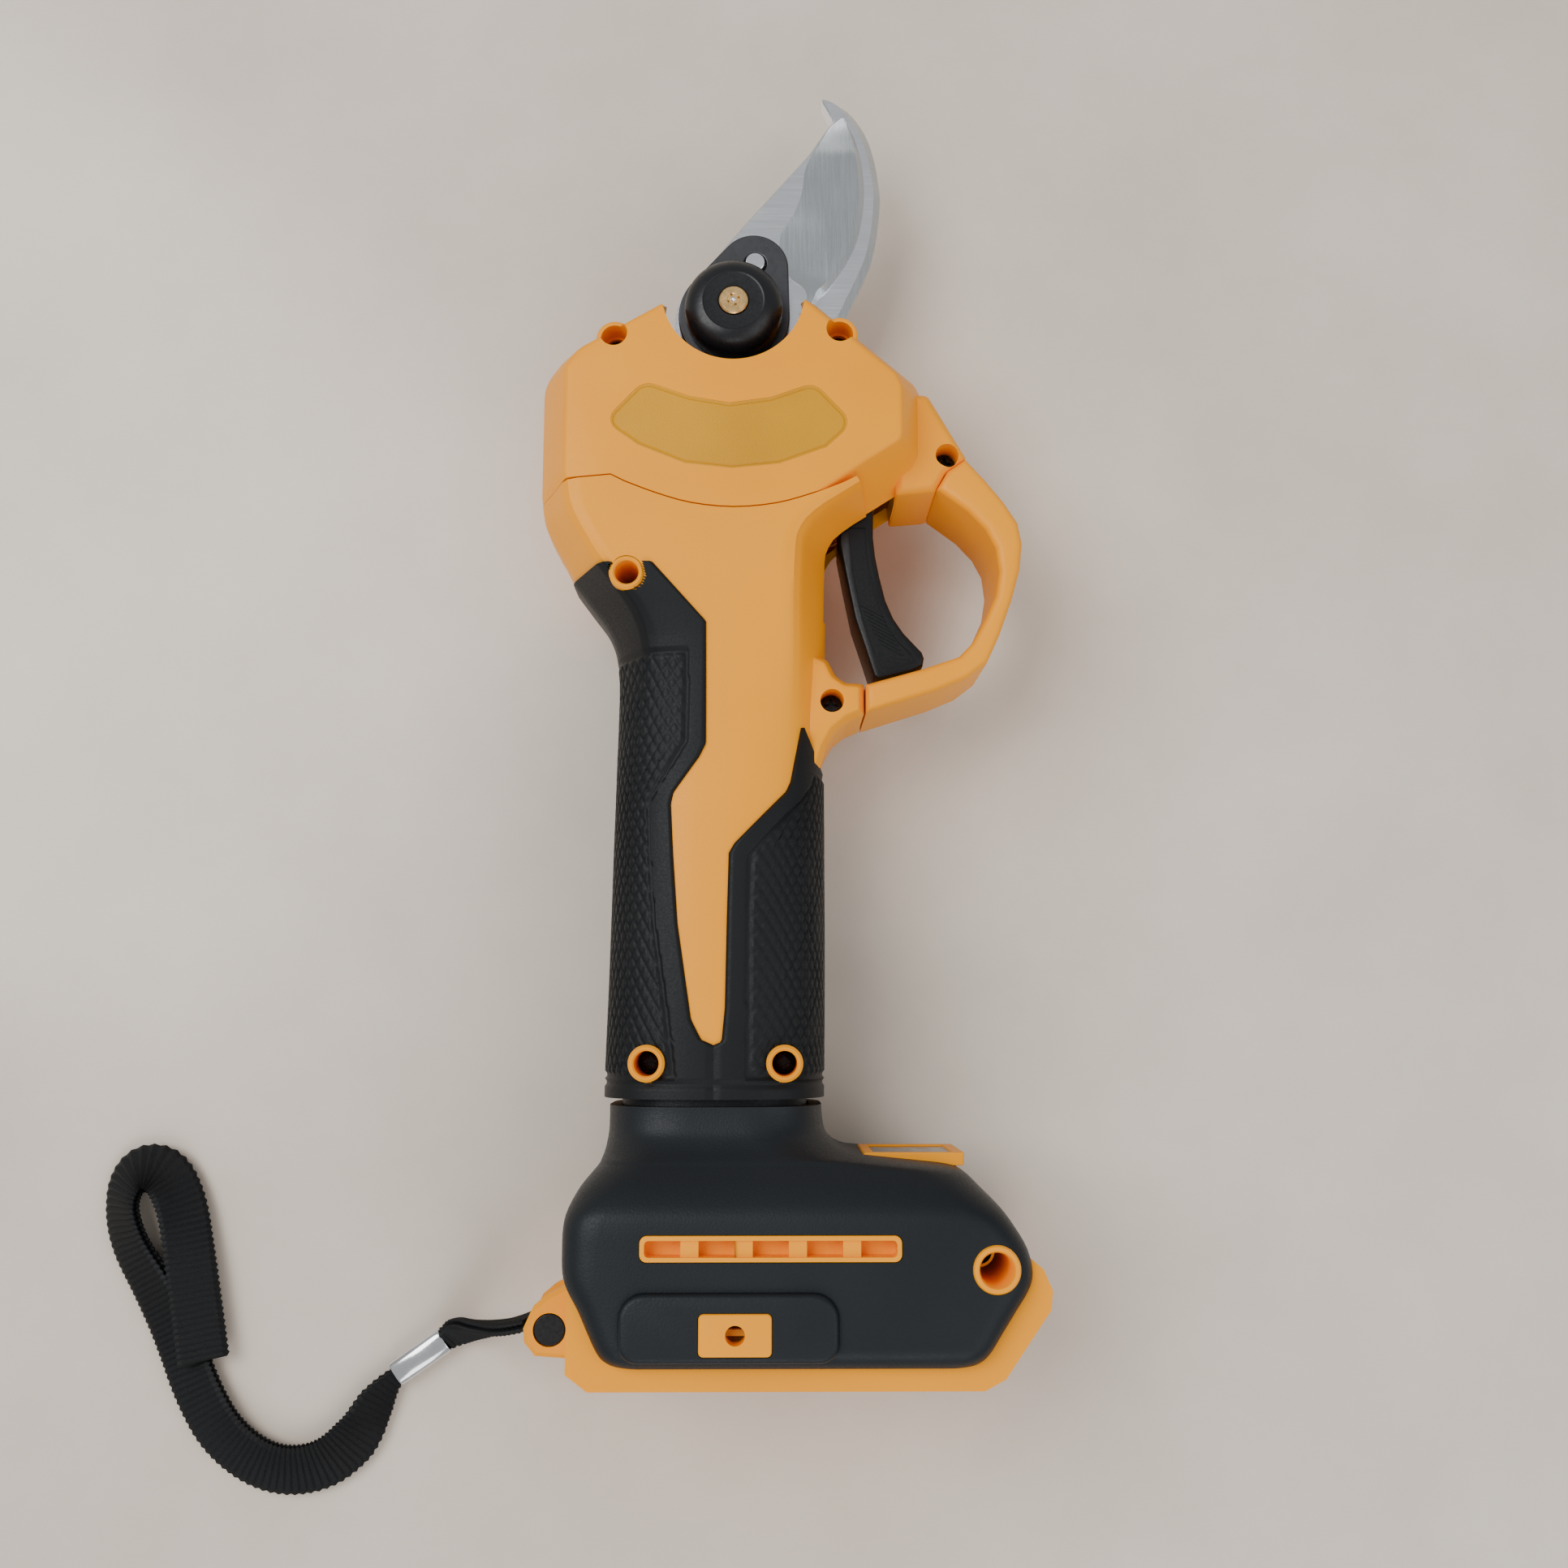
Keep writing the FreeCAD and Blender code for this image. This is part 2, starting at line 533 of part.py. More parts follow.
# Display on the foot's shoulder: a bezel, its dark window and the board under them.
bezelHole = block((bezelX[0] + 2.2, bezelX[1] - 2.2), (-1, 5), (-bezelHalf + 2.2, bezelHalf - 2.2))
bezel = displayBox.cut(bezelHole)
lens = block((bezelX[0] + 2.25, bezelX[1] - 2.25), (1.0, 2.1), (-bezelHalf + 2.25, bezelHalf - 2.25))
board = block((bezelX[0] + 1, bezelX[1] - 1), (-2.4, -0.8), (-bezelHalf + 1, bezelHalf - 1))
for label, shape in (("display_bezel", bezel), ("display_window", lens), ("display_board", board)):
    shape = shape.copy()
    shape.Placement = displayAt
    feature(label, Part.Shape(shape).copy())

# Blades.
reach = s.bladeReach / 53.0
tr = s.tangRadius
tailLow = (-tr * 0.745, tr * 0.667)
tailRight = (tr * 0.98, -tr * 0.199)


def bladePoint(x, y):
    return (x * reach, y * reach)


bladeEdges = pathEdges(tailLow, [
    bladePoint(14.4, 37.2), (bladePoint(18.0, 42.2), bladePoint(22.6, 47.3)), bladePoint(24.0, 47.4),
    (bladePoint(27.6, 31.0), bladePoint(17.4, 7.1)), tailRight, ((0, -tr), tailLow),
])
bushRadius = s.boltRadius + 1.5
plate("moving_blade", bladeEdges + [circle(0, 0, bushRadius)], bladeBottom, "Sizes.bladeThick", 0.5)
hookEdges = pathEdges((-tr * 0.6, tr * 0.8), [
    (4.5, 12.8), (bladePoint(24.6, 31.5), bladePoint(20.1, 46.0)), bladePoint(18.6, 54.0),
    (bladePoint(23.4, 52.8), bladePoint(27.6, 47.3)), (bladePoint(31.2, 30.0), bladePoint(25.0, 7.6)),
    (22.0, 2.5), (16.4, -1.8), (12.2, -2.7), ((0, -tr), (-tr * 0.6, tr * 0.8)),
])
tangScrews = [(8.0, -5.2), (-8.0, -5.2)]
tangHoles = [circle(x, y, 1.6) for x, y in tangScrews]
hookEdges = hookEdges + [circle(0, 0, s.boltRadius + 0.02)] + tangHoles
plate("hook_blade", hookEdges, hookBottom, "Sizes.hookThick")

# Pivot: a fixed bolt, a bush that turns with the blade, the lock plate and its pin, the nut and its screw.
bolt = doc.addObject("Part::Cylinder", "pivot_shank")
bind(bolt, Radius="Sizes.boltRadius")
bolt.Height = nutTop - 2.0 - boltHeadTop
bolt.Placement = Placement(Vector(0, 0, boltHeadTop), Rotation())
boltHead = doc.addObject("Part::Cylinder", "pivot_head")
bind(boltHead, Radius="Sizes.nutRadius * 0.75")
boltHead.Height = boltHeadDepth
boltHead.Placement = Placement(Vector(0, 0, boltHeadTop - boltHeadDepth), Rotation())
pivotBolt = doc.addObject("Part::Fuse", "pivot_bolt")
pivotBolt.Base = bolt
pivotBolt.Tool = boltHead
keep(pivotBolt, "pivot_bolt")

bushOuter = doc.addObject("Part::Cylinder", "bush_outside")
bind(bushOuter, Radius="Sizes.boltRadius + 1.5")
bushOuter.Height = lockTop - bladeBottom
bushBore = doc.addObject("Part::Cylinder", "bush_bore")
bind(bushBore, Radius="Sizes.boltRadius + Sizes.fitGap")
bushBore.Height = lockTop - bladeBottom
for bar in (bushOuter, bushBore):
    bar.Placement = Placement(Vector(0, 0, bladeBottom), Rotation())
bush = doc.addObject("Part::Cut", "blade_bush")
bush.Base = bushOuter
bush.Tool = bushBore
keep(bush, "blade_bush")

lockRadius = s.tangRadius - 1.0
tongueAt = (4.0, 10.8)
tongueRadius = 7.2
tongueAngle = math.atan2(tongueAt[1], tongueAt[0])
tongueSpan = math.hypot(*tongueAt)
tangent = math.acos((lockRadius - tongueRadius) / tongueSpan)


def polar(centre, radius, angle):
    return (centre[0] + radius * math.cos(angle), centre[1] + radius * math.sin(angle))


lockEdges = pathEdges(polar((0, 0), lockRadius, tongueAngle + tangent), [
    (polar((0, 0), lockRadius, tongueAngle + math.pi), polar((0, 0), lockRadius, tongueAngle - tangent)),
    polar(tongueAt, tongueRadius, tongueAngle - tangent),
    (polar(tongueAt, tongueRadius, tongueAngle), polar(tongueAt, tongueRadius, tongueAngle + tangent)),
    polar((0, 0), lockRadius, tongueAngle + tangent),
])
pinAt = (4.3, 11.6)
plate("lock_plate", lockEdges + [circle(0, 0, bushRadius), circle(pinAt[0], pinAt[1], 2.3)], hubTop,
      "Sizes.lockThick")
lockPin = doc.addObject("Part::Cylinder", "lock_pin")
lockPin.Radius = 2.0
lockPin.Height = lockTop + 0.9 - bladeTop
lockPin.Placement = Placement(Vector(pinAt[0], pinAt[1], bladeTop), Rotation())
keep(lockPin, "lock_pin")

nutProfile = [Vector(s.boltRadius + 0.01, 0, nutBottom), Vector(s.nutRadius, 0, nutBottom),
              Vector(s.nutRadius, 0, nutTop - 2.6), Vector(s.nutRadius * 0.63, 0, nutTop),
              Vector(3.05, 0, nutTop), Vector(3.05, 0, nutTop - 1.9),
              Vector(s.boltRadius + 0.01, 0, nutTop - 1.9)]
nut = Part.Face(Part.makePolygon(nutProfile + nutProfile[:1])).revolve(Vector(), up, 360)
feature("pivot_nut", nut)
brass = post(0, 0, 3.0, nutTop - 1.85, nutTop + 0.35)
brass = brass.cut(post(0, 0, 0.9, nutTop - 0.5, nutTop + 1))
feature("adjuster_screw", brass)

# Gear case: an aluminium block under the hook blade with the bearing seat of the output shaft.
case = post(0, 0, s.notchRadius - 0.6, boltHeadTop, hookBottom)
case = case.fuse(block((-13, 13), (caseBack, -4), (boltHeadTop, hookBottom)))
case = case.fuse(tube(13, caseFront, caseBack))
bearingRadius = 8.0
case = case.cut(tube(bearingRadius + 0.02, -s.coneReach + 6, caseBack))
case = case.cut(post(0, 0, s.boltRadius + 0.02, -60, 60))
for x, y in tangScrews:
    case = case.cut(post(x, y, 1.55, boltHeadTop + 3, 0))
feature("gear_case", case)
tangs = []
for x, y in tangScrews:
    tangs.append(post(x, y, 1.5, boltHeadTop + 3.5, hookTop - 0.1))
feature("tang_screws", Part.Compound(tangs))


# Gear teeth: straight flanks, thinned for backlash.

def gearPoints(teeth, radius, addendum, dedendum, thin, phase=0.0):
    points = []
    pitch = 2 * math.pi / teeth
    for k in range(teeth):
        centre = k * pitch + phase
        for share, r in ((-0.37, radius - dedendum), (-0.16, radius + addendum),
                         (0.16, radius + addendum), (0.37, radius - dedendum)):
            angle = centre + pitch * share * thin
            points.append((r * math.cos(angle), r * math.sin(angle)))
    return points


def gearWheel(points, front, back):
    """Toothed prism round the gear axis: the points lie in X and Z."""
    corners = [Vector(x, back, z) for x, z in points]
    return Part.Face(Part.makePolygon(corners + corners[:1])).extrude(Vector(0, front - back, 0))


bevelTeeth = 12
segmentTeeth = 40
pinionRadius = s.coneReach * bevelTeeth / segmentTeeth
bevelModule = 2 * pinionRadius / bevelTeeth
smallEnd = (s.coneReach - s.toothFace) / s.coneReach
pinionPoints = gearPoints(bevelTeeth, pinionRadius, 0.62 * bevelModule, 1.0 * bevelModule, 0.86,
                          math.pi / 2 + math.pi / bevelTeeth)
pinionWires = []
for scale in (1.0, smallEnd):
    corners = [Vector(x * scale, -s.coneReach * scale, z * scale) for x, z in pinionPoints]
    pinionWires.append(Part.makePolygon(corners + corners[:1]))
pinion = Part.makeLoft(pinionWires, True, True)
shaft = tube(s.outputRadius, -s.coneReach + 0.2, carrierFront)
sunTeeth, planetTeeth = 12, 15
ringTeeth = sunTeeth + 2 * planetTeeth
sunRadius = s.gearModule * sunTeeth / 2
planetRadius = s.gearModule * planetTeeth / 2
ringRadius = s.gearModule * ringTeeth / 2
planetOrbit = sunRadius + planetRadius
carrierRadius = planetOrbit + 3.0
feature("output_pinion", pinion.fuse(shaft).removeSplitter())
carrier = tube(carrierRadius, carrierFront, carrierBack)
planetPin = 1.3
planetAngles = [math.pi / 2 + 2 * math.pi * k / 3 for k in range(3)]
for angle in planetAngles:
    pinBack = Vector(planetOrbit * math.cos(angle), planetBack - 0.4, planetOrbit * math.sin(angle))
    pin = Part.makeCylinder(planetPin, carrierBack - planetBack + 0.4, pinBack, along)
    carrier = carrier.fuse(pin)
feature("planet_carrier", carrier)

# Bevel segment on the moving blade: a hub under the lock plate and a toothed arc above the pinion.
segmentFrom, segmentTo = math.radians(-148), math.radians(-82)
rootLift = 1.0 * bevelModule
rimProfile = [Vector(s.coneReach * smallEnd, 0, (pinionRadius + rootLift) * smallEnd),
              Vector(s.coneReach, 0, pinionRadius + rootLift), Vector(s.coneReach, 0, hubTop),
              Vector(bushRadius + 0.5, 0, hubTop), Vector(bushRadius + 0.5, 0, bladeTop),
              Vector(s.coneReach * smallEnd - 0.6, 0, bladeTop)]
segment = Part.Face(Part.makePolygon(rimProfile + rimProfile[:1]))
segment = segment.revolve(Vector(), up, math.degrees(segmentTo - segmentFrom))
segment.rotate(Vector(), up, math.degrees(segmentFrom))
hub = post(0, 0, lockRadius, bladeTop, hubTop)
segment = segment.fuse(hub)
segment = segment.cut(post(0, 0, bushRadius, -60, 60))
segment = segment.cut(post(pinAt[0], pinAt[1], 2.0, -60, 60))
toothPitch = 2 * math.pi / segmentTeeth
pitchLength = toothPitch * s.coneReach
for k in range(segmentTeeth):
    angle = -math.pi / 2 - k * toothPitch
    if not segmentFrom + toothPitch / 2 < angle + toothPitch / 4 < segmentTo:
        continue
    wires = []
    for scale in (1.0, smallEnd):
        y = s.coneReach * scale
        low = (pinionRadius - 0.62 * bevelModule) * scale
        high = (pinionRadius + rootLift + 0.25) * scale
        narrow, broad = 0.14 * pitchLength * scale, 0.33 * pitchLength * scale
        corners = [Vector(y, -narrow, low), Vector(y, narrow, low), Vector(y, broad, high),
                   Vector(y, -broad, high)]
        wires.append(Part.makePolygon(corners + corners[:1]))
    tooth = Part.makeLoft(wires, True, True)
    tooth.rotate(Vector(), up, math.degrees(angle))
    segment = segment.fuse(tooth)
feature("bevel_segment", segment)

# Bearing, planet stage and motor along the gear axis.
inner = tube(s.outputRadius + 1.6, bearingFront, bearingBack, s.outputRadius + s.fitGap)
outer = tube(bearingRadius, bearingFront, bearingBack, bearingRadius - 1.3)
ballOrbit = (s.outputRadius + 1.6 + bearingRadius - 1.3) / 2
ballRadius = (bearingRadius - 1.3 - s.outputRadius - 1.6) / 2 + 0.25
groove = Part.makeTorus(ballOrbit, ballRadius, Vector(0, (bearingFront + bearingBack) / 2, 0), along)
inner = inner.cut(groove)
outer = outer.cut(groove)
balls = [inner, outer]
for k in range(8):
    angle = 2 * math.pi * k / 8
    ballY = (bearingFront + bearingBack) / 2
    centre = Vector(ballOrbit * math.cos(angle), ballY, ballOrbit * math.sin(angle))
    balls.append(Part.makeSphere(ballRadius - 0.03, centre))
feature("output_bearing", Part.Compound(balls))

planetShape = gearPoints(planetTeeth, planetRadius, 0.85 * s.gearModule, 1.2 * s.gearModule, 0.84)
for k, angle in enumerate(planetAngles, 1):
    # A planet has a tooth on its line to the ring, and a gap on its line to the sun.
    turned = [(x * math.cos(angle) - z * math.sin(angle), x * math.sin(angle) + z * math.cos(angle))
              for x, z in planetShape]
    placed = [(x + planetOrbit * math.cos(angle), z + planetOrbit * math.sin(angle)) for x, z in turned]
    wheel = gearWheel(placed, planetFront, planetBack)
    holeBack = Vector(planetOrbit * math.cos(angle), planetBack, planetOrbit * math.sin(angle))
    hole = Part.makeCylinder(planetPin + s.fitGap, s.gearWidth, holeBack, along)
    feature("planet_gear_%d" % k, wheel.cut(hole))
ringPhase = math.pi / 2 + math.pi / ringTeeth
ringShape = []
for k in range(ringTeeth):
    centre = ringPhase + 2 * math.pi * k / ringTeeth
    for share, r in ((-0.37, ringRadius + 1.2 * s.gearModule), (-0.16, ringRadius - 0.85 * s.gearModule),
                     (0.16, ringRadius - 0.85 * s.gearModule), (0.37, ringRadius + 1.2 * s.gearModule)):
        at = centre + 2 * math.pi / ringTeeth * share * 0.84
        ringShape.append((r * math.cos(at), r * math.sin(at)))
ringOuter = ringRadius + 1.2 * s.gearModule + 1.3
ringFront, ringBack = caseBack - 0.05, planetBack - 0.5
ringGear = tube(ringOuter, ringFront, ringBack)
ringGear = ringGear.cut(gearWheel(ringShape, ringFront, ringBack))
feature("ring_gear", ringGear)

motorPlate = tube(s.motorRadius, ringBack - 0.05, motorFront, 5.0)
feature("motor_mount", motorPlate)
can = tube(s.motorRadius, motorFront, motorBack, s.motorRadius - 1.2)
can = can.fuse(tube(s.motorRadius, motorFront, motorFront - 1.4, s.shaftRadius + 0.6))
feature("motor_can", can)
magnets = []
for start in (-60, 120):
    magnet = tube(s.motorRadius - 1.25, motorFront - 6, motorBack + 8, s.motorRadius - 4.0)
    slice_ = Part.makeCylinder(s.motorRadius, s.motorLength, Vector(0, motorBack, 0), along, 120)
    slice_.rotate(Vector(), along, start)
    magnets.append(magnet.common(slice_))
feature("motor_magnets", Part.Compound(magnets))
armature = tube(s.motorRadius - 4.6, motorFront - 8, motorBack + 10)
for k in range(5):
    slot = block((-0.6, 0.6), (motorBack, motorFront), (s.motorRadius - 8.0, s.motorRadius))
    slot.rotate(Vector(), along, 72 * k)
    armature = armature.cut(slot)
armature = armature.fuse(tube(s.shaftRadius, planetFront - 0.2, capBack + 1.5))
armature = armature.fuse(tube(4.0, motorBack + 8, motorBack + 2))
feature("motor_armature", armature)
sunShape = gearPoints(sunTeeth, sunRadius, 0.85 * s.gearModule, 1.2 * s.gearModule, 0.84, math.pi / 2)
sun = gearWheel(sunShape, planetFront - 0.25, planetBack - 0.4)
feature("sun_gear", sun.cut(tube(s.shaftRadius, planetFront + 1, planetBack - 2)))
motorCap = tube(s.motorRadius, motorBack - 0.05, capBack, s.shaftRadius + s.fitGap)
feature("motor_cap", motorCap)

# Trigger, hung on a pin inside the head, with its torsion spring and switch.
px, py = pinBoss
triggerOutline = [
    (38.7, -71.5), (37.9, -73.3), (29.2, -75.8), (28.2, -75), (26.6, -69.5), (24.5, -63), (22.9, -54.5),
    (21.6, -47.4), (px - 3.6, py), (px - 2.2, py + 12), (px + 1.2, py + 12), (px + 3.2, py + 2), (28.6, -46),
    (29.6, -54.2), (31, -60), (33.4, -64.4), (35.8, -67.5), (38.2, -70),
]
triggerPath = list(reversed(triggerOutline))
trigger = shoulderBlock(triggerPath, s.triggerHalf - 1.2, s.triggerHalf, 0.6)
springHalf = 3.2
trigger = trigger.fuse(post(px, py, s.triggerBoss, -s.triggerHalf, s.triggerHalf))
trigger = trigger.cut(post(px, py, 3.7, -springHalf, springHalf))
trigger = trigger.cut(block((px - 12, px), (py - 6, py + 3.7), (-springHalf, springHalf)))
trigger = trigger.cut(post(px, py, s.triggerPin + s.fitGap, -60, 60))
feature("trigger", trigger)
triggerPin = doc.addObject("Part::Cylinder", "trigger_pin")
bind(triggerPin, Radius="Sizes.triggerPin")
triggerPin.Height = 2 * pinReach
triggerPin.Placement = Placement(Vector(px, py, -pinReach), Rotation())
keep(triggerPin, "trigger_pin")
wireRadius = 0.35
springTurns = 4
springPitch = 1.15
springRadius = 2.3
springFirst = -springPitch * (springTurns - 1) / 2
coils = []
for k in range(springTurns):
    coilAt = Vector(px, py, springFirst + k * springPitch)
    coils.append(Part.makeTorus(springRadius, wireRadius, coilAt, up))
feature("trigger_spring", Part.Compound(coils))
switch = block((px + 5.2, px + 10.6), (py + 4, py + 15), (-4.5, 4.5))
switch = switch.fuse(block((px + 4.4, px + 5.2), (py + 10.3, py + 12.3), (-1.2, 1.2)))
feature("trigger_switch", switch)

# Electronics: control board in the lower grip, leads, terminal block and contacts.
boardFront, boardBack = capBack - 6, -s.gripLength + 10
feature("control_board", block((-12, 9), (boardBack, boardFront), (-6, -4.4)).fuse(
    block((-9, -3), (boardBack + 6, boardBack + 18), (-4.4, 4))).fuse(
    block((1, 7), (boardBack + 4, boardBack + 12), (-4.4, 2))))
leads = []
for x in (-5.5, 4.5):
    lead = Part.makeCylinder(0.9, capBack - boardFront - 0.1, Vector(x, boardFront + 0.05, -5.2), along)
    leads.append(lead)
    leads.append(Part.makeCylinder(0.9, boardBack - 0.05 - (deckTop + 1.6),
                                   Vector(x - 1, deckTop + 1.6, -5.2), along))
feature("power_leads", Part.Compound(leads))
terminalX = (fl + 7, fl + 21)
terminal = block(terminalX, (deckBottom - 6, deckBottom - 0.05), (-12, 12))
feature("terminal_block", terminal)
contacts = []
for z in (-8, -2.7, 2.7, 8):
    contacts.append(block((terminalX[1] + 0.02, terminalX[1] + 9), (deckBottom - 4.5, deckBottom - 1.2),
                          (z - 0.4, z + 0.4)))
feature("terminal_contacts", Part.Compound(contacts))


# Screws: a cross-recessed head on a plain shank.

def screwAt(x, y, seat=screwSeat, depth=screwDepth, head=2.4):
    screw = post(x, y, s.screwHead, seat + 0.02, seat + head)
    screw = screw.fuse(post(x, y, s.screwShank, -depth, seat + 0.02))
    for wide, deep in ((1.25, 0.28), (0.28, 1.25)):
        recess = block((x - wide, x + wide), (y - deep, y + deep), (seat + head - 1.1, seat + head + 1))
        screw = screw.cut(recess)
    return screw


feature("head_screws", Part.Compound([screwAt(x, y, screwSeat, screwDepth, 9.0) for x, y in headScrews]))
feature("guard_screws", Part.Compound([screwAt(*earScrew), screwAt(*stubScrew)]))
footScrew = screwAt(footHole[0], footHole[1], 5.5)
feature("grip_screws", Part.Compound([screwAt(x, y) for x, y in [shellHole] + gripScrews] + [footScrew]))
lugScrew = post(lugScrewAt[0], lugScrewAt[1], 1.95, -lugHalf + 0.2, lugHalf - 1.58)
lugScrew = lugScrew.fuse(post(lugScrewAt[0], lugScrewAt[1], 2.9, lugHalf - 1.58, lugHalf - 0.2))
feature("lug_screw", lugScrew)

# Lay the tool on its side: the latch window in the foot and the front of the head touch the floor.
headNear = max(y for x, y in inset(bodyOutline, s.shoulder))
lean = math.atan((windowTop - s.headHalfThick) / (headNear - latchY[1]))
layTurn = Rotation(Vector(1, 0, 0), -math.degrees(lean))
doc.recompute()
lowest, west, east, south, north = 1e9, 1e9, -1e9, 1e9, -1e9
for piece in pieces:
    shape = piece.Shape.copy()
    shape.Placement = Placement(Vector(), layTurn).multiply(shape.Placement)
    box = shape.optimalBoundingBox(False)
    lowest = min(lowest, box.ZMin)
    west, east = min(west, box.XMin), max(east, box.XMax)
    south, north = min(south, box.YMin), max(north, box.YMax)
layDown = Placement(Vector(-(west + east) / 2, -(south + north) / 2, -lowest), layTurn)
for piece in pieces:
    piece.Placement = layDown.multiply(piece.Placement)

# Wrist strap: a lead from the lug, through the crimp, then a loop lying on the floor.
leadRoute = [
    (-48.2, -122.9, 30.6), (-52.8, -125.0, 27.5), (-59.5, -127.8, 15.5), (-66.5, -130.6, 5.2),
    (-70.6, -133.2, 2.6),
]
doubledRoute = [
    (-80.6, -140.2, 2.6), (-85.0, -146.0, 2.6), (-88.5, -153.5, 2.6), (-96.0, -159.5, 2.6),
    (-106.5, -160.0, 2.6), (-116.5, -153.5, 2.6), (-122.5, -143.5, 2.6), (-126.5, -133.0, 2.6),
]
loopRoute = [
    (-126.5, -133.0, 2.6), (-132.0, -122.5, 2.6), (-138.0, -112.5, 2.6), (-139.5, -103.5, 2.6),
    (-136.5, -97.5, 2.6), (-131.0, -98.0, 2.6), (-127.3, -105.5, 2.6), (-126.3, -114.5, 2.6),
    (-124.6, -125.5, 2.6),
]


def roundedRoute(points):
    """Straight runs joined by tangent arcs as large as the shorter run beside each corner allows."""
    corners = [Vector(*point) for point in points]
    edges, radii = [], []
    here = corners[0]
    for k in range(1, len(corners) - 1):
        before, after = corners[k] - corners[k - 1], corners[k + 1] - corners[k]
        turn = before.getAngle(after)
        cut = 0.45 * min(before.Length, after.Length)
        radii.append(cut / math.tan(turn / 2))
        first = corners[k] - before.normalize() * cut
        last = corners[k] + after.normalize() * cut
        bisect = (first + last) * 0.5 - corners[k]
        distance = math.hypot(radii[-1], cut)
        middle = corners[k] + bisect.normalize() * (distance - radii[-1])
        edges.append(Part.LineSegment(here, first).toShape())
        edges.append(Part.Arc(first, middle, last).toShape())
        here = last
    edges.append(Part.LineSegment(here, corners[-1]).toShape())
    return Part.Wire(edges), radii


def strapTube(label, points):
    path, radii = roundedRoute(points)
    start = path.Edges[0]
    direction = start.tangentAt(start.FirstParameter)
    section = Part.Wire([Part.makeCircle(s.strapTube, Vector(*points[0]), direction)])
    solid = path.makePipeShell([section], True, False, 1)
    share = solid.Volume / (math.pi * s.strapTube ** 2 * path.Length)
    print(label, "length %.1f" % path.Length, "volume share %.4f" % share,
          "radii", " ".join("%.1f" % radius for radius in radii))
    return feature(label, solid)


strapTube("strap_lead", leadRoute)
strapTube("strap_doubled", doubledRoute)
strapTube("strap_loop", loopRoute)
crimpFrom, crimpTo = Vector(*leadRoute[-1]), Vector(*doubledRoute[0])
crimpRadius = s.strapTube + 0.8
crimpAxis = crimpTo - crimpFrom
feature("strap_crimp", Part.makeCylinder(crimpRadius, crimpAxis.Length, crimpFrom, crimpAxis))

# Check everything, then write one file a piece.
doc.recompute()
for item in doc.Objects:
    if "Invalid" in item.State or "Error" in item.State:
        raise RuntimeError("object %s is in state %s" % (item.Label, item.State))
for piece in pieces:
    if piece.Shape.isNull() or not piece.Shape.isValid() or piece.Shape.Volume <= 0:
        raise RuntimeError("piece %s has no valid solid" % piece.Label)
os.makedirs("parts", exist_ok=True)
for piece in pieces:
    piece.Shape.exportStep("parts/%s.step" % piece.Label)
print(len(pieces), "pieces written", "lean %.3f" % math.degrees(lean), "shift", layDown.Base)
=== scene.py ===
import json
import math
import bpy
import bmesh
from mathutils import Matrix, Vector


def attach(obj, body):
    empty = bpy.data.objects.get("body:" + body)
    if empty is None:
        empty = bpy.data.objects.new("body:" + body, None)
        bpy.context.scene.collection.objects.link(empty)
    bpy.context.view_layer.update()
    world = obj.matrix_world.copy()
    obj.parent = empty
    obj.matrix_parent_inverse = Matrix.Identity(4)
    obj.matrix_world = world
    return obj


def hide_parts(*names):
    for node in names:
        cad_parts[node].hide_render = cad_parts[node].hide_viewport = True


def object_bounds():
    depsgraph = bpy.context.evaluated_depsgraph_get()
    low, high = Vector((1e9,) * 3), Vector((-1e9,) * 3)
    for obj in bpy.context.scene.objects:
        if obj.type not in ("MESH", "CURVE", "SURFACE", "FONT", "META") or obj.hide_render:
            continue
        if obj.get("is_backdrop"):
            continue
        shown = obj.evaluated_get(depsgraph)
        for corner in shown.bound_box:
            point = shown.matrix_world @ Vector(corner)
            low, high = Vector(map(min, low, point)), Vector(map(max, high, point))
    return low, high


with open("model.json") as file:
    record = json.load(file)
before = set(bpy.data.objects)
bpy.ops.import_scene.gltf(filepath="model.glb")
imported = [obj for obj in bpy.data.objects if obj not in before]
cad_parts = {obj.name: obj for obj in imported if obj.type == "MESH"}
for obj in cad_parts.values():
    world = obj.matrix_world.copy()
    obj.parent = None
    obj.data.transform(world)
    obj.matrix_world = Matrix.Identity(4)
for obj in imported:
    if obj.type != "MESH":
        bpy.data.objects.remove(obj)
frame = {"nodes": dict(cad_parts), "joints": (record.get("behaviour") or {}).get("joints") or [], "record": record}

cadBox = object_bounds()
nodes = frame["nodes"]

# Pieces are modelled in millimetres in the tool's own frame: blade pivot at the origin, blades along +Y,
# trigger on the +X side, upper side +Z. The blade hinge says how that frame lies on the floor.
hinge = next(joint for joint in frame["joints"] if joint["name"] == "blade_hinge")
lean = math.atan2(hinge["axis"][1], hinge["axis"][2])
toRow = Matrix.Translation(hinge["pos_m"]) @ Matrix.Rotation(-lean, 4, "X") @ Matrix.Scale(0.001, 4)
print("tool lies at a lean of %.2f degrees" % math.degrees(lean))


# Finishes

def startMaterial(name, colour, roughness, metallic=0.0, specular=0.5):
    material = bpy.data.materials.new(name)
    material.use_nodes = True
    shader = material.node_tree.nodes["Principled BSDF"]
    shader.inputs["Base Color"].default_value = (*colour, 1)
    shader.inputs["Roughness"].default_value = roughness
    shader.inputs["Metallic"].default_value = metallic
    shader.inputs["Specular IOR Level"].default_value = specular
    return material, shader


def place(material, stretch=(1, 1, 1)):
    tree = material.node_tree
    coordinates = tree.nodes.new("ShaderNodeTexCoord")
    mapping = tree.nodes.new("ShaderNodeMapping")
    mapping.inputs["Scale"].default_value = stretch
    tree.links.new(coordinates.outputs["Object"], mapping.inputs["Vector"])
    return mapping.outputs["Vector"]


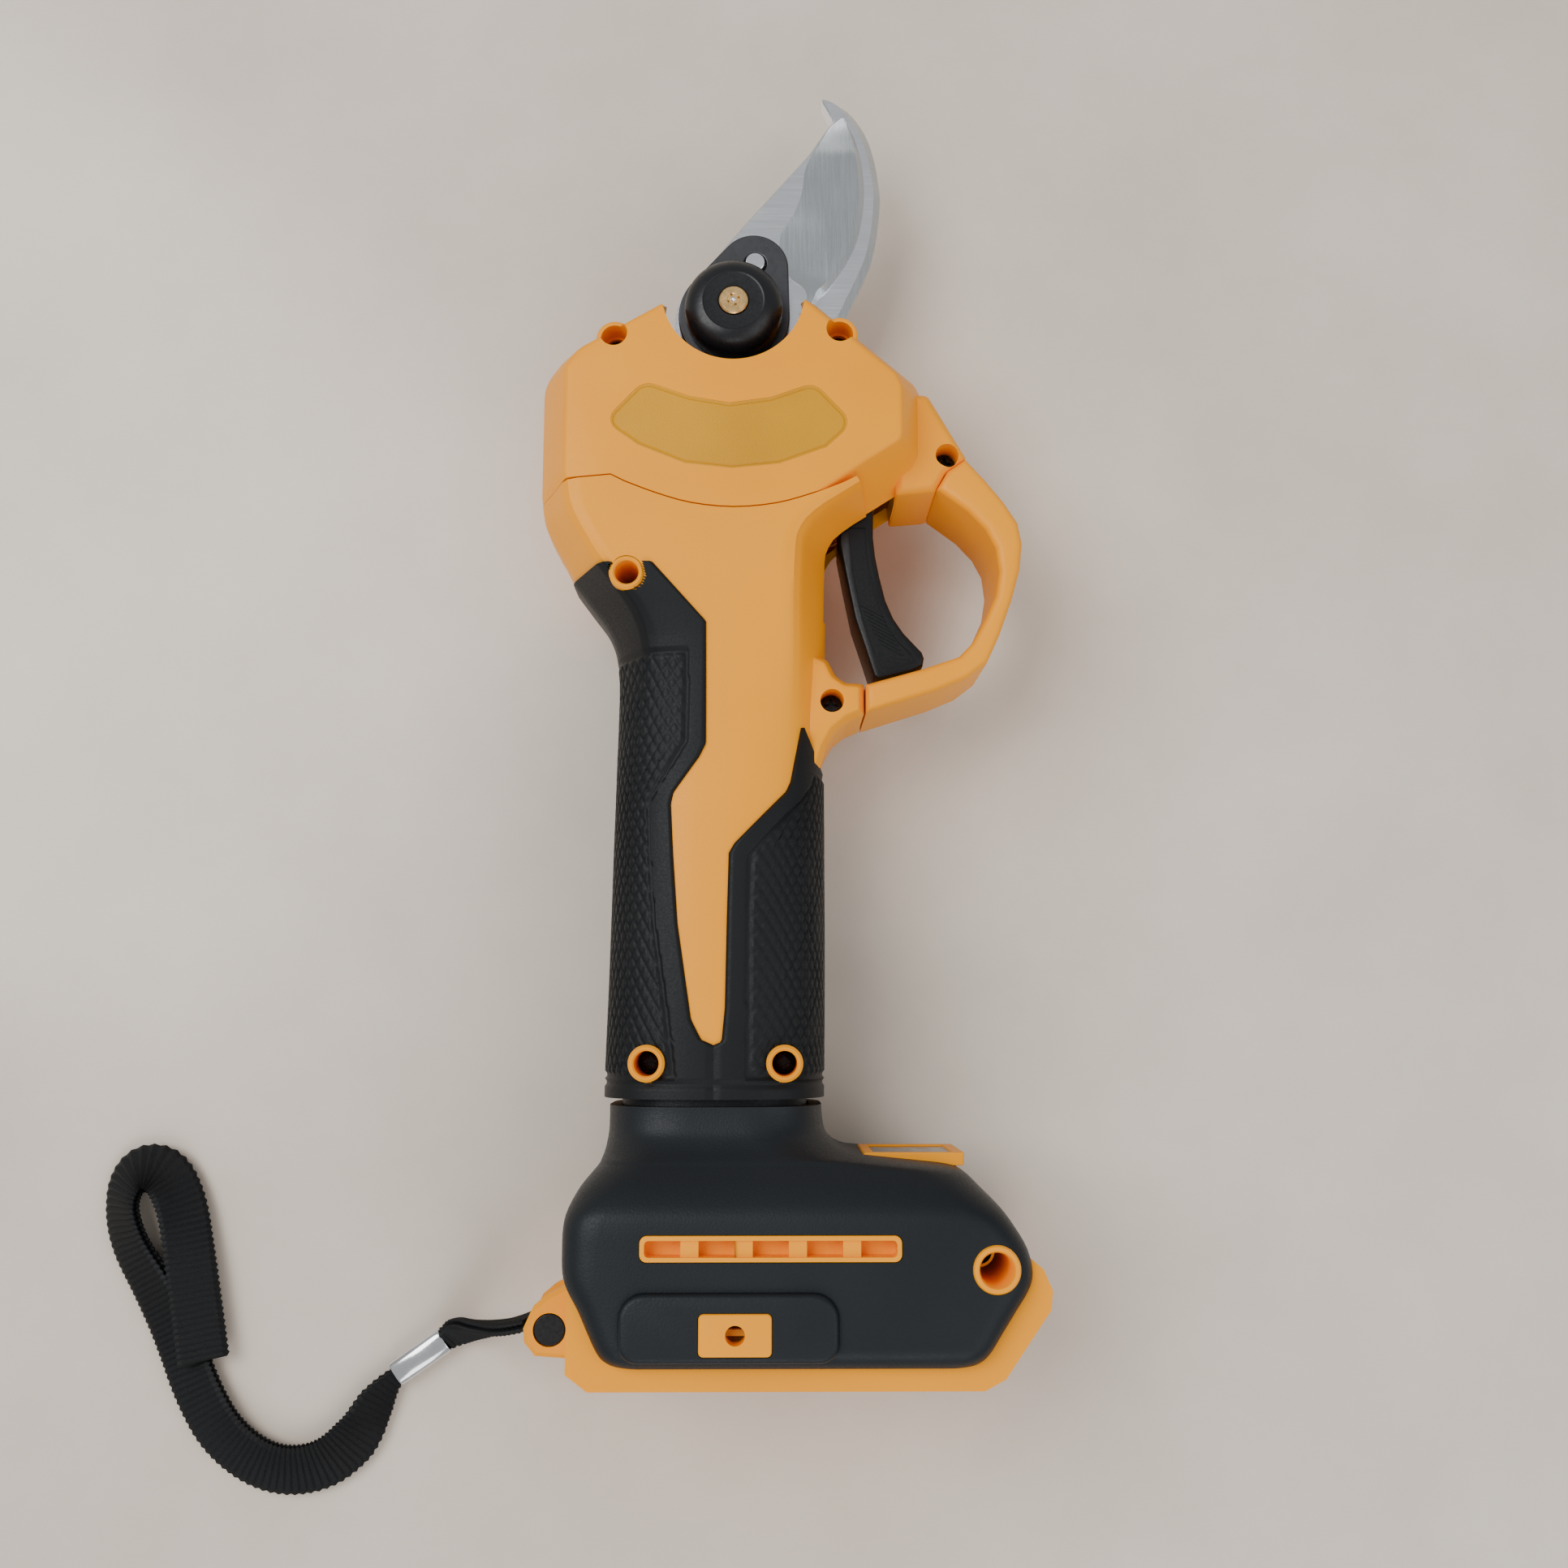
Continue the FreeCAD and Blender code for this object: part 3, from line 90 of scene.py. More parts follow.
def noise(material, vector, scale, detail=3, roughness=0.5):
    tree = material.node_tree
    texture = tree.nodes.new("ShaderNodeTexNoise")
    texture.inputs["Scale"].default_value = scale
    texture.inputs["Detail"].default_value = detail
    texture.inputs["Roughness"].default_value = roughness
    tree.links.new(vector, texture.inputs["Vector"])
    return texture.outputs["Fac"]


def spread(material, value, low, high, fromLow=0.3, fromHigh=0.7):
    tree = material.node_tree
    node = tree.nodes.new("ShaderNodeMapRange")
    node.inputs["From Min"].default_value = fromLow
    node.inputs["From Max"].default_value = fromHigh
    node.inputs["To Min"].default_value = low
    node.inputs["To Max"].default_value = high
    tree.links.new(value, node.inputs["Value"])
    return node.outputs["Result"]


def blendColours(material, value, first, second):
    tree = material.node_tree
    mix = tree.nodes.new("ShaderNodeMix")
    mix.data_type = "RGBA"
    mix.inputs[6].default_value = (*first, 1)
    mix.inputs[7].default_value = (*second, 1)
    tree.links.new(value, mix.inputs[0])
    return mix.outputs[2]


def feed(material, shader, **sockets):
    for name, output in sockets.items():
        material.node_tree.links.new(output, shader.inputs[name.replace("_", " ")])


def bump(material, shader, height, strength, depth):
    tree = material.node_tree
    node = tree.nodes.new("ShaderNodeBump")
    node.inputs["Strength"].default_value = strength
    node.inputs["Distance"].default_value = depth
    tree.links.new(height, node.inputs["Height"])
    tree.links.new(node.outputs["Normal"], shader.inputs["Normal"])


def mouldedPlastic(name, colour, shade, roughness, grain, strength, specular=0.3):
    material, shader = startMaterial(name, colour, roughness, 0.0, specular)
    vector = place(material)
    broad = noise(material, vector, 35, 2)
    fine = noise(material, vector, grain, 2, 0.6)
    feed(material, shader, Base_Color=blendColours(material, spread(material, broad, 0, 1), colour, shade),
         Roughness=spread(material, fine, roughness - 0.06, roughness + 0.08))
    bump(material, shader, fine, strength, 0.0001)
    return material


def machinedSteel(name, colour, roughness, stretch=(60, 2500, 60), contrast=0.08):
    material, shader = startMaterial(name, colour, roughness, 1.0)
    vector = place(material, stretch)
    streaks = noise(material, vector, 1.0, 3, 0.7)
    smudge = noise(material, place(material), 60, 3)
    shade = tuple(0.88 * c for c in colour)
    feed(material, shader, Roughness=spread(material, streaks, roughness - contrast, roughness + contrast),
         Base_Color=blendColours(material, spread(material, smudge, 0, 1), colour, shade))
    bump(material, shader, streaks, 0.12, 0.00005)
    return material


finishes = {
    "shell_yellow": mouldedPlastic("shellYellow", (1.0, 0.37, 0.0), (0.95, 0.34, 0.0), 0.42, 2600, 0.2, 0.25),
    "label_gold": mouldedPlastic("labelGold", (0.70, 0.32, 0.0), (0.56, 0.25, 0.0), 0.36, 3400, 0.6, 0.3),
    "grip_rubber": mouldedPlastic("gripRubber", (0.0035, 0.0045, 0.0055), (0.006, 0.0072, 0.0085),
                                  0.5, 2400, 0.25, 0.22),
    "cover_black": mouldedPlastic("coverBlack", (0.006, 0.0085, 0.011), (0.009, 0.012, 0.015),
                                  0.46, 2400, 0.5, 0.26),
    "trigger_black": mouldedPlastic("triggerBlack", (0.004, 0.0045, 0.005), (0.006, 0.0065, 0.0075),
                                    0.34, 2200, 0.15, 0.3),
    "fastener_black": mouldedPlastic("blackOxide", (0.005, 0.0055, 0.0065), (0.009, 0.0095, 0.011),
                                     0.32, 1500, 0.15, 0.35),
    "blade_steel": machinedSteel("bladeBright", (0.93, 0.95, 0.98), 0.2),
    "blade_ground": machinedSteel("bladeGround", (0.62, 0.65, 0.66), 0.3, (3200, 90, 60), 0.1),
    "plate_dark": machinedSteel("plateDark", (0.085, 0.085, 0.09), 0.42, (900, 900, 900)),
    "brass": machinedSteel("turnedBrass", (0.83, 0.53, 0.22), 0.28, (700, 700, 700)),
    "cast_aluminium": machinedSteel("castAluminium", (0.6, 0.6, 0.62), 0.5, (900, 900, 900)),
    "gear_steel": machinedSteel("gearSteel", (0.42, 0.42, 0.44), 0.34, (400, 400, 400)),
    "motor_can": machinedSteel("zincPlate", (0.5, 0.5, 0.53), 0.3, (300, 300, 300)),
    "crimp_steel": machinedSteel("crimpSteel", (0.78, 0.79, 0.8), 0.16, (500, 500, 500), 0.04),
    "magnet_grey": mouldedPlastic("ferrite", (0.05, 0.05, 0.055), (0.07, 0.07, 0.075), 0.6, 1500, 0.3),
    "winding_copper": machinedSteel("winding", (0.55, 0.25, 0.12), 0.4, (2500, 60, 60)),
    "board_green": mouldedPlastic("circuitBoard", (0.02, 0.14, 0.05), (0.03, 0.18, 0.07), 0.35, 900, 0.1),
    "window_dark": mouldedPlastic("smokedWindow", (0.02, 0.012, 0.012), (0.03, 0.014, 0.014), 0.12, 400, 0.0),
    "lead_red": mouldedPlastic("leadSleeve", (0.5, 0.03, 0.02), (0.4, 0.02, 0.015), 0.4, 900, 0.05),
}


def buildWebbing():
    material, shader = startMaterial("webbing", (0.003, 0.0035, 0.004), 0.55, 0.0, 0.25)
    tree = material.node_tree
    coordinates = tree.nodes.new("ShaderNodeTexCoord")
    fuzz = noise(material, coordinates.outputs["Object"], 3000, 3)
    dark, light = (0.002, 0.0022, 0.0026), (0.007, 0.0078, 0.009)
    feed(material, shader, Base_Color=blendColours(material, spread(material, fuzz, 0, 1), dark, light))
    bump(material, shader, fuzz, 0.5, 0.0001)
    return material


finishes["webbing_black"] = buildWebbing()


def buildDigits():
    material, shader = startMaterial("litDigits", (0.6, 0.02, 0.02), 0.3)
    shader.inputs["Emission Color"].default_value = (1.0, 0.06, 0.05, 1)
    shader.inputs["Emission Strength"].default_value = 1.2
    return material


def buildFloor():
    material, shader = startMaterial("paleFloor", (0.50, 0.44, 0.385), 0.22, 0.0, 0.4)
    vector = place(material)
    cloud = noise(material, vector, 14, 8, 0.62)
    dark, light = (0.66, 0.565, 0.47), (0.77, 0.675, 0.57)
    feed(material, shader, Base_Color=blendColours(material, spread(material, cloud, 0, 1), dark, light))
    return material


# Modelling helpers

def newObject(name, mesh, slot, body="housing", node=(), finish=None):
    piece = bpy.data.objects.new(name, mesh)
    bpy.context.scene.collection.objects.link(piece)
    mesh.materials.append(finish or finishes[slot])
    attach(piece, body)
    if node:
        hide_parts(*((node,) if isinstance(node, str) else node))
    return piece


def finishPiece(name, bm, slot, body="housing", node=(), finish=None, angle=32, placed=False):
    if not placed:
        bmesh.ops.transform(bm, matrix=toRow, verts=bm.verts)
    mesh = bpy.data.meshes.new(name)
    bm.to_mesh(mesh)
    bm.free()
    mesh.shade_smooth()
    mesh.set_sharp_from_angle(angle=math.radians(angle))
    return newObject(name, mesh, slot, body, node, finish)


def mirrored(bm):
    other = bm.copy()
    bmesh.ops.scale(other, vec=(1, 1, -1), verts=other.verts)
    bmesh.ops.reverse_faces(other, faces=other.faces)
    return other


def outlineBlock(points, low, high, rounds=(), segments=5):
    bm = bmesh.new()
    verts = [bm.verts.new((x, y, low)) for x, y in points]
    bm.faces.new(verts)
    for radius, chosen in rounds:
        corners = [verts[k] for k in chosen]
        bmesh.ops.bevel(bm, geom=corners, offset=radius, offset_type="OFFSET", segments=segments, profile=0.5,
                        affect="VERTICES", material=-1)
    face = max(bm.faces, key=lambda item: item.calc_area())
    made = bmesh.ops.extrude_face_region(bm, geom=[face])
    moved = [item for item in made["geom"] if isinstance(item, bmesh.types.BMVert)]
    bmesh.ops.translate(bm, vec=(0, 0, high - low), verts=moved)
    bmesh.ops.recalc_face_normals(bm, faces=bm.faces)
    return bm


def insetPoints(points, distance):
    moved = []
    for k, here in enumerate(points):
        a, b = Vector(here) - Vector(points[k - 1]), Vector(points[(k + 1) % len(points)]) - Vector(here)
        na, nb = Vector((-a.y, a.x)).normalized(), Vector((-b.y, b.x)).normalized()
        moved.append(Vector(here) + (na + nb) * distance / (1 + na.dot(nb)))
    return [(p.x, p.y) for p in moved]


def topFace(bm):
    return max(bm.faces, key=lambda face: (round(face.calc_center_median().z, 3), face.calc_area()))


def rimEdges(bm, level):
    return [edge for edge in bm.edges if all(abs(vert.co.z - level) < 1e-4 for vert in edge.verts)]


def bevelEdges(bm, edges, offset, segments=3):
    bmesh.ops.bevel(bm, geom=edges, offset=offset, offset_type="OFFSET", segments=segments, profile=0.5,
                    affect="EDGES", clamp_overlap=True, material=-1)


def shoulderBlock(points, base, side, half, band, rounds=(), soft=1.8):
    bm = outlineBlock(points, base, side, rounds)
    top = topFace(bm)
    bmesh.ops.inset_region(bm, faces=[top], thickness=band, depth=0, use_even_offset=True)
    bmesh.ops.translate(bm, vec=(0, 0, half - side), verts=top.verts)
    if soft:
        edges = [edge for edge in bm.edges if edge.calc_face_angle(0) > 0.12
                 and not all(abs(vert.co.z - base) < 1e-4 for vert in edge.verts)]
        bevelEdges(bm, edges, soft)
    return bm


def carve(bm, tool, operation="DIFFERENCE"):
    objects = []
    for part in (bm, tool):
        bmesh.ops.recalc_face_normals(part, faces=part.faces)
        mesh = bpy.data.meshes.new("carving")
        part.to_mesh(mesh)
        part.free()
        objects.append(bpy.data.objects.new("carving", mesh))
        bpy.context.scene.collection.objects.link(objects[-1])
    cutter = objects[0].modifiers.new("carve", "BOOLEAN")
    cutter.operation = operation
    cutter.solver = "EXACT"
    cutter.object = objects[1]
    bpy.context.view_layer.update()
    ready = objects[0].evaluated_get(bpy.context.evaluated_depsgraph_get())
    mesh = bpy.data.meshes.new_from_object(ready)
    result = bmesh.new()
    result.from_mesh(mesh)
    bpy.data.meshes.remove(mesh)
    for part in objects:
        old = part.data
        bpy.data.objects.remove(part)
        bpy.data.meshes.remove(old)
    return result


def cylinder(x, y, radius, low, high, top=None, segments=40):
    bm = bmesh.new()
    bmesh.ops.create_cone(bm, cap_ends=True, segments=segments, radius1=radius, radius2=top or radius,
                          depth=high - low, matrix=Matrix.Translation((x, y, (low + high) / 2)))
    return bm


def box(x, y, z):
    bm = bmesh.new()
    size = Matrix.Diagonal((x[1] - x[0], y[1] - y[0], z[1] - z[0], 1))
    centre = Matrix.Translation(((x[0] + x[1]) / 2, (y[0] + y[1]) / 2, (z[0] + z[1]) / 2))
    bmesh.ops.create_cube(bm, size=1, matrix=centre @ size)
    return bm


def join(*parts):
    first = parts[0]
    for part in parts[1:]:
        mesh = bpy.data.meshes.new("joining")
        part.to_mesh(mesh)
        part.free()
        first.from_mesh(mesh)
        bpy.data.meshes.remove(mesh)
    return first


def loft(rings, capped=True):
    bm = bmesh.new()
    loops = []
    for ring in rings:
        verts = bmesh.ops.create_circle(bm, segments=len(ring), radius=1)["verts"]
        for vert, point in zip(verts, ring):
            vert.co = point
        loops.append(list({edge for vert in verts for edge in vert.link_edges}))
    for first, second in zip(loops, loops[1:]):
        bmesh.ops.bridge_loops(bm, edges=first + second)
    if capped:
        bmesh.ops.holes_fill(bm, edges=loops[0] + loops[-1])
    bmesh.ops.recalc_face_normals(bm, faces=bm.faces)
    return bm


def turned(profile, x=0, y=0, steps=64):
    bm = bmesh.new()
    verts = [bm.verts.new((radius, 0, z)) for radius, z in profile]
    edges = [bm.edges.new(pair) for pair in zip(verts, verts[1:] + verts[:1])]
    bmesh.ops.spin(bm, geom=verts + edges, cent=(0, 0, 0), axis=(0, 0, 1), dvec=(0, 0, 0), angle=2 * math.pi,
                   steps=steps, use_merge=True, use_duplicate=False)
    bmesh.ops.remove_doubles(bm, verts=bm.verts, dist=1e-4)
    bmesh.ops.recalc_face_normals(bm, faces=bm.faces)
    bmesh.ops.translate(bm, vec=(x, y, 0), verts=bm.verts)
    return bm


def smoothRows(rows, steps):
    out = []
    for k in range(len(rows) - 1):
        a, b, c, d = rows[max(k - 1, 0)], rows[k], rows[k + 1], rows[min(k + 2, len(rows) - 1)]
        for step in range(steps):
            t = step / steps
            out.append([0.5 * (2 * q + (r - p) * t + (2 * p - 5 * q + 4 * r - u) * t ** 2
                               + (3 * q - p - 3 * r + u) * t ** 3) for p, q, r, u in zip(a, b, c, d)])
    return out + [list(rows[-1])]


def softCopy(node, slot, width, body="housing", segments=2, angle=32):
    bm = bmesh.new()
    bm.from_mesh(nodes[node].data)
    bmesh.ops.remove_doubles(bm, verts=bm.verts, dist=2e-6)
    bmesh.ops.dissolve_limit(bm, angle_limit=math.radians(1.5), verts=bm.verts, edges=bm.edges)
    piece = finishPiece(node + "_body", bm, slot, body, node, angle=angle, placed=True)
    edge = piece.modifiers.new("soft edge", "BEVEL")
    edge.width = width / 1000
    edge.segments = segments
    edge.limit_method = "ANGLE"
    edge.angle_limit = math.radians(30)
    edge.harden_normals = True
    return piece


# The camera, the floor and the light
view = {"at": (6.22, -144.15, 317.0), "lens": 36.09, "sensor": 36.0, "nearest": 0.01,
        "axes": ((0.99991, -0.00199, -0.01312), (0.0, 0.98868, -0.15006), (0.01327, 0.15005, 0.98859))}
camera = bpy.data.objects.new("camera", bpy.data.cameras.new("camera"))
bpy.context.scene.collection.objects.link(camera)
turn = Matrix.Rotation(-lean, 3, "X") @ Matrix(view["axes"])
camera.matrix_world = Matrix.Translation(toRow @ Vector(view["at"])) @ turn.to_4x4()
camera.data.lens = view["lens"]
camera.data.sensor_width = view["sensor"]
camera.data.clip_start = view["nearest"]
bpy.context.scene.camera = camera

floorMesh = bpy.data.meshes.new("floor")
floorForm = bmesh.new()
bmesh.ops.create_grid(floorForm, x_segments=2, y_segments=2, size=1.6)
floorForm.to_mesh(floorMesh)
floorForm.free()
floor = bpy.data.objects.new("floor", floorMesh)
bpy.context.scene.collection.objects.link(floor)
floorMesh.materials.append(buildFloor())
floor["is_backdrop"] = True

lamps = [("key", (-0.55, 0.25, 0.95), 0.7, 8.8), ("fill", (0.75, -0.2, 0.9), 0.9, 3.8),
         ("front", (0.0, -0.85, 0.75), 0.6, 3.2)]
for name, at, size, power in lamps:
    lamp = bpy.data.objects.new(name, bpy.data.lights.new(name, "AREA"))
    lamp.data.size = size
    lamp.data.energy = power
    lamp.location = at
    lamp.rotation_mode = "QUATERNION"
    lamp.rotation_quaternion = (-Vector(at)).to_track_quat("-Z", "Y")
    bpy.context.scene.collection.objects.link(lamp)
sky = bpy.data.worlds.new("room")
sky.use_nodes = True
sky.node_tree.nodes["Background"].inputs["Color"].default_value = (0.95, 0.97, 1.0, 1)
sky.node_tree.nodes["Background"].inputs["Strength"].default_value = 0.5
bpy.context.scene.world = sky
print("camera, floor and lamps set")

# Wrist strap
strap = {"width": 10.0, "ply": 1.1, "plyOffset": 0.62, "rib": 1.3, "ribDepth": 0.0002}
# Distance along the strap and its twist there in degrees
strapTwists = [(0, 88), (22, 60), (38, 25), (60, 14), (100, 10), (118, 12), (135, 26), (150, 38), (165, 30),
               (185, 12)]
# Distance along the strap, counted downwards, and its width there
strapWidths = [(0, 6.5), (-25, 7.5), (-34, 6.5), (-39, 3.8), (-51, 3.8), (-57, 7.5), (-66, 10.0),
               (-400, 10.0)]
routeLead = [(-48.2, -122.9, 30.6), (-52.8, -125.0, 27.5), (-59.5, -127.8, 15.5), (-66.5, -130.6, 5.2),
             (-70.6, -133.2, 2.6)]
routeDoubled = [(-80.6, -140.2, 2.6), (-85.0, -146.0, 2.6), (-88.5, -153.5, 2.6), (-96.0, -159.5, 2.6),
                (-106.5, -160.0, 2.6), (-116.5, -153.5, 2.6), (-122.5, -143.5, 2.6), (-126.5, -133.0, 2.6)]
routeLoop = [(-132.0, -122.5, 3.0), (-138.0, -112.5, 3.8), (-139.5, -103.5, 4.2), (-136.5, -97.5, 4.4),
             (-130.5, -97.6, 4.4), (-126.6, -104.5, 4.2), (-124.6, -114.5, 4.4), (-122.6, -125.5, 4.6),
             (-120.6, -137.0, 4.6)]


def along(border, y):
    for (y0, x0), (y1, x1) in zip(border, border[1:]):
        if y >= y1:
            return x0 + (x1 - x0) * min(max((y0 - y) / (y0 - y1), 0), 1)
    return border[-1][1]


def splineLine(points):
    curve = bpy.data.curves.new("route", "CURVE")
    curve.dimensions = "3D"
    curve.resolution_u = 12
    spline = curve.splines.new("NURBS")
    spline.points.add(len(points) - 1)
    for point, at in zip(spline.points, points):
        point.co = (at[0] / 1000, at[1] / 1000, at[2] / 1000, 1)
    spline.order_u = 3
    spline.use_endpoint_u = True
    route = bpy.data.objects.new("route", curve)
    mesh = bpy.data.meshes.new_from_object(route)
    line = [vert.co.copy() for vert in mesh.vertices]
    bpy.data.objects.remove(route)
    bpy.data.meshes.remove(mesh)
    return line


strapLine = splineLine(routeLead + routeDoubled + routeLoop)


def webbingStrip(line, offset, twist):
    count = len(line)
    rings = []
    travelled = 0.0
    for k, here in enumerate(line):
        before, after = line[max(k - 1, 0)], line[min(k + 1, count - 1)]
        ahead = (after - before).normalized()
        if k:
            travelled += (here - line[k - 1]).length
        flatSide = ahead.cross(Vector((0, 0, 1)))
        flatSide = (flatSide if flatSide.length > 0.05 else Vector((0, 1, 0))).normalized()
        upright = flatSide.cross(ahead).normalized()
        angle = twist(travelled * 1000)
        across = flatSide * math.cos(angle) + upright * math.sin(angle)
        outward = across.cross(ahead).normalized()
        middle = here + outward * offset / 1000
        half = strap["ply"] / 2000
        rib = strap["ribDepth"] * (1 if k % 2 else -1)
        widths = along(strapWidths, -travelled * 1000) / 2000 + rib
        ring = []
        for share, lift in ((-1, 0.35), (-0.82, 1), (-0.4, 1), (0, 1), (0.4, 1), (0.82, 1), (1, 0.35)):
            ring.append(middle + across * widths * share + outward * (half * lift + rib * (lift == 1)))
        for share, lift in ((1, 0.35), (0.82, 1), (0.4, 1), (0, 1), (-0.4, 1), (-0.82, 1), (-1, 0.35)):
            ring.append(middle + across * widths * share - outward * (half * lift + rib * (lift == 1)))
        rings.append(ring)
    return loft(rings)


def evenLine(line, step):
    out, left = [line[0]], step
    for a, b in zip(line, line[1:]):
        span, done = (b - a).length, 0.0
        while span - done >= left:
            done += left
            out.append(a.lerp(b, done / span))
            left = step
        left -= span - done
    if (out[-1] - line[-1]).length > step / 3:
        out.append(line[-1])
    return out


def strapTwist(s):
    for (s0, a0), (s1, a1) in zip(strapTwists, strapTwists[1:]):
        if s <= s1:
            return math.radians(a0 + (a1 - a0) * (s - s0) / (s1 - s0))
    return math.radians(strapTwists[-1][1])


evenStrap = evenLine(strapLine, strap["rib"] / 2000)
print("strap has", len(evenStrap), "ribs")
upperPly = webbingStrip(evenStrap, strap["plyOffset"], strapTwist)
lowerPly = webbingStrip(evenStrap, -strap["plyOffset"], strapTwist)
webbing = finishPiece("strap_webbing", join(upperPly, lowerPly), "webbing_black",
                      node=("strap_lead", "strap_doubled", "strap_loop"), angle=18, placed=True)


def crimpSleeve():
    centre = [Vector(p) / 1000 for p in (routeLead[-1], routeDoubled[0])]
    ahead = (centre[1] - centre[0]).normalized()
    side = ahead.cross(Vector((0, 0, 1))).normalized()
    up = side.cross(ahead)
    rings = []
    length = (centre[1] - centre[0]).length
    for share, grow in ((0, 0.55), (0, 0.95), (0.03, 1.0), (0.97, 1.0), (1.0, 0.95), (1.0, 0.55)):
        ring = []
        for k in range(32):
            angle = 2 * math.pi * k / 32
            c, d = math.cos(angle), math.sin(angle)
            x = math.copysign(abs(c) ** 0.6, c) * (2.4 + 0.35 * grow) * grow
            z = math.copysign(abs(d) ** 0.6, d) * 2.35 * grow
            ring.append(centre[0] + ahead * length * share + (side * x + up * z) / 1000)
        rings.append(ring)
    return loft(rings, False)


crimp = finishPiece("strap_crimp_sleeve", crimpSleeve(), "crimp_steel", node="strap_crimp", placed=True)
print("wrist strap made")

# Shells of the head, neck and grip
body = {"side": 6.0, "wall": 2.4, "seamGap": 0.3, "towerRadius": 3.45, "screwHole": 2.35}
sectionAngles = [0, 16, 22, 28, 47, 53, 59, 75, 90, 105, 121, 127, 133, 152, 158, 164, 180]
# Level y, left, left edge of the top, right edge of the top, right, half thickness, roundness
bodyRows = [
    (-34, -39.4, -32.7, 32.0, 38.6, 22, 0), (-38, -39.4, -32.7, 27.2, 33.7, 22, 0),
    (-41.5, -39.0, -32.3, 21.8, 28.4, 22, 0), (-44.2, -38.3, -31.7, 17.6, 24.2, 22, 0),
    (-46.8, -37.0, -30.5, 14.7, 21.0, 22, 0), (-50, -35.2, -28.7, 13.0, 19.4, 22, 0),
    (-55, -32.4, -25.6, 12.6, 19.1, 21.8, 0.03), (-60, -28.8, -21.6, 12.4, 19.0, 21.3, 0.12),
    (-65, -25.2, -17.9, 12.2, 18.9, 20.6, 0.28), (-70, -23.1, -15.6, 12.0, 18.8, 19.9, 0.48),
    (-76, -22.3, -14.8, 11.8, 18.5, 19.3, 0.7), (-84, -22.3, -14.6, 11.5, 17.9, 18.9, 0.92),
    (-92, -22.5, -14.5, 11.2, 17.7, 18.8, 1), (-110, -22.9, -14.5, 11, 17.7, 18.8, 1),
    (-135, -23.4, -14.5, 11, 17.7, 18.8, 1), (-158.2, -24.0, -14.5, 11, 17.5, 18.8, 1),
]


def bodySection(y):
    for first, second in zip(bodyRows, bodyRows[1:]):
        if y >= second[0] or second is bodyRows[-1]:
            k = bodyRows.index(first)
            p, u = bodyRows[max(k - 1, 0)], bodyRows[min(k + 2, len(bodyRows) - 1)]
            t = min(max((y - first[0]) / (second[0] - first[0]), 0), 1)
            out = []
            for a, b, c, d in zip(p[1:], first[1:], second[1:], u[1:]):
                out.append(0.5 * (2 * b + (c - a) * t + (2 * a - 5 * b + 4 * c - d) * t ** 2
                                  + (3 * b - a - 3 * c + d) * t ** 3))
            return out


def sectionCurve(y, grow=0.0):
    left, leftTop, rightTop, right, half, roundness = bodySection(y)
    left, right, half = left - grow, right + grow, half + grow
    leftTop, rightTop = leftTop - 0.5 * grow, rightTop + 0.5 * grow
    side = body["side"]
    corners = [Vector(c) for c in ((right, 0), (right, side), (rightTop, half), (leftTop, half), (left, side),
                                   (left, 0))]
    flat = [corners[0]]
    for k in range(1, 5):
        a, b, c = corners[k - 1], corners[k], corners[k + 1]
        reach = 1.6 if k in (1, 4) else 2.4
        first, last = b + (a - b).normalized() * reach, b + (c - b).normalized() * reach
        flat += [first, (first + 2 * b + last) / 4, last]
        if k == 2:
            ending = corners[3] + (b - corners[3]).normalized() * reach
            flat += [last.lerp(ending, share) for share in (0.25, 0.5, 0.75)]
    flat.append(corners[5])
    centre, width = (left + right) / 2, (right - left) / 2

    def at(angle):
        for k in range(16):
            if angle <= sectionAngles[k + 1] or k == 15:
                t = (angle - sectionAngles[k]) / (sectionAngles[k + 1] - sectionAngles[k])
                sharp = flat[k].lerp(flat[k + 1], t)
                break
        c, d = math.cos(math.radians(angle)), math.sin(math.radians(angle))
        power = 2 / 2.7
        soft = Vector((centre + width * math.copysign(abs(c) ** power, c), half * abs(d) ** power))
        return sharp.lerp(soft, min(max(roundness, 0), 1))
    return at


fineAngles = sorted(set(sectionAngles) | {4 * k for k in range(46)} | {2, 10, 170, 178})


def bodyForm(levels, grow=0.0, base=0.0):
    rings = []
    for y in levels:
        curve = sectionCurve(y, grow)
        points = [curve(angle) for angle in fineAngles]
        ring = [Vector((p.x, y, max(p.y, 0))) for p in points]
        if base:
            ring[0].z = ring[-1].z = base
        rings.append(ring)
    return loft(rings)


def levels(first, last, step):
    count = max(1, round((first - last) / step))
    return [first + (last - first) * k / count for k in range(count + 1)]


bodyLevels = levels(-34, -66, 1.6)[:-1] + levels(-66, -158.2, 3.5)
shell = bodyForm(bodyLevels)
stubPoints = [(14, -96), (17.4, -94.5), (18.6, -90.5), (20.4, -87.2), (23, -85), (26.3, -83.6), (26.3, -77.2),
              (22.6, -77.0), (20.6, -75.6), (19.1, -72.5), (14, -70)]
shell = carve(shell, shoulderBlock(stubPoints, 0, 9.5, 12, 1.2, (), 0.5), "UNION")
shell = carve(shell, bodyForm([-33.5] + bodyLevels[1:-1] + [-159], -body["wall"], -1))
shellScrews = [(-20.4, -57.8), (-15.5, -151.7), (10.3, -151.7)]
stubScrew = (19.8, -81.1)


def screwTube(x, y, top):
    hole, radius = body["screwHole"], body["towerRadius"]
    return turned([(hole, 4.0), (hole, top - 0.35), (2.7, top), (radius - 0.5, top), (radius, top - 0.5),
                   (radius, 0), (1.55, 0), (1.55, 4.0)], x, y, 48)


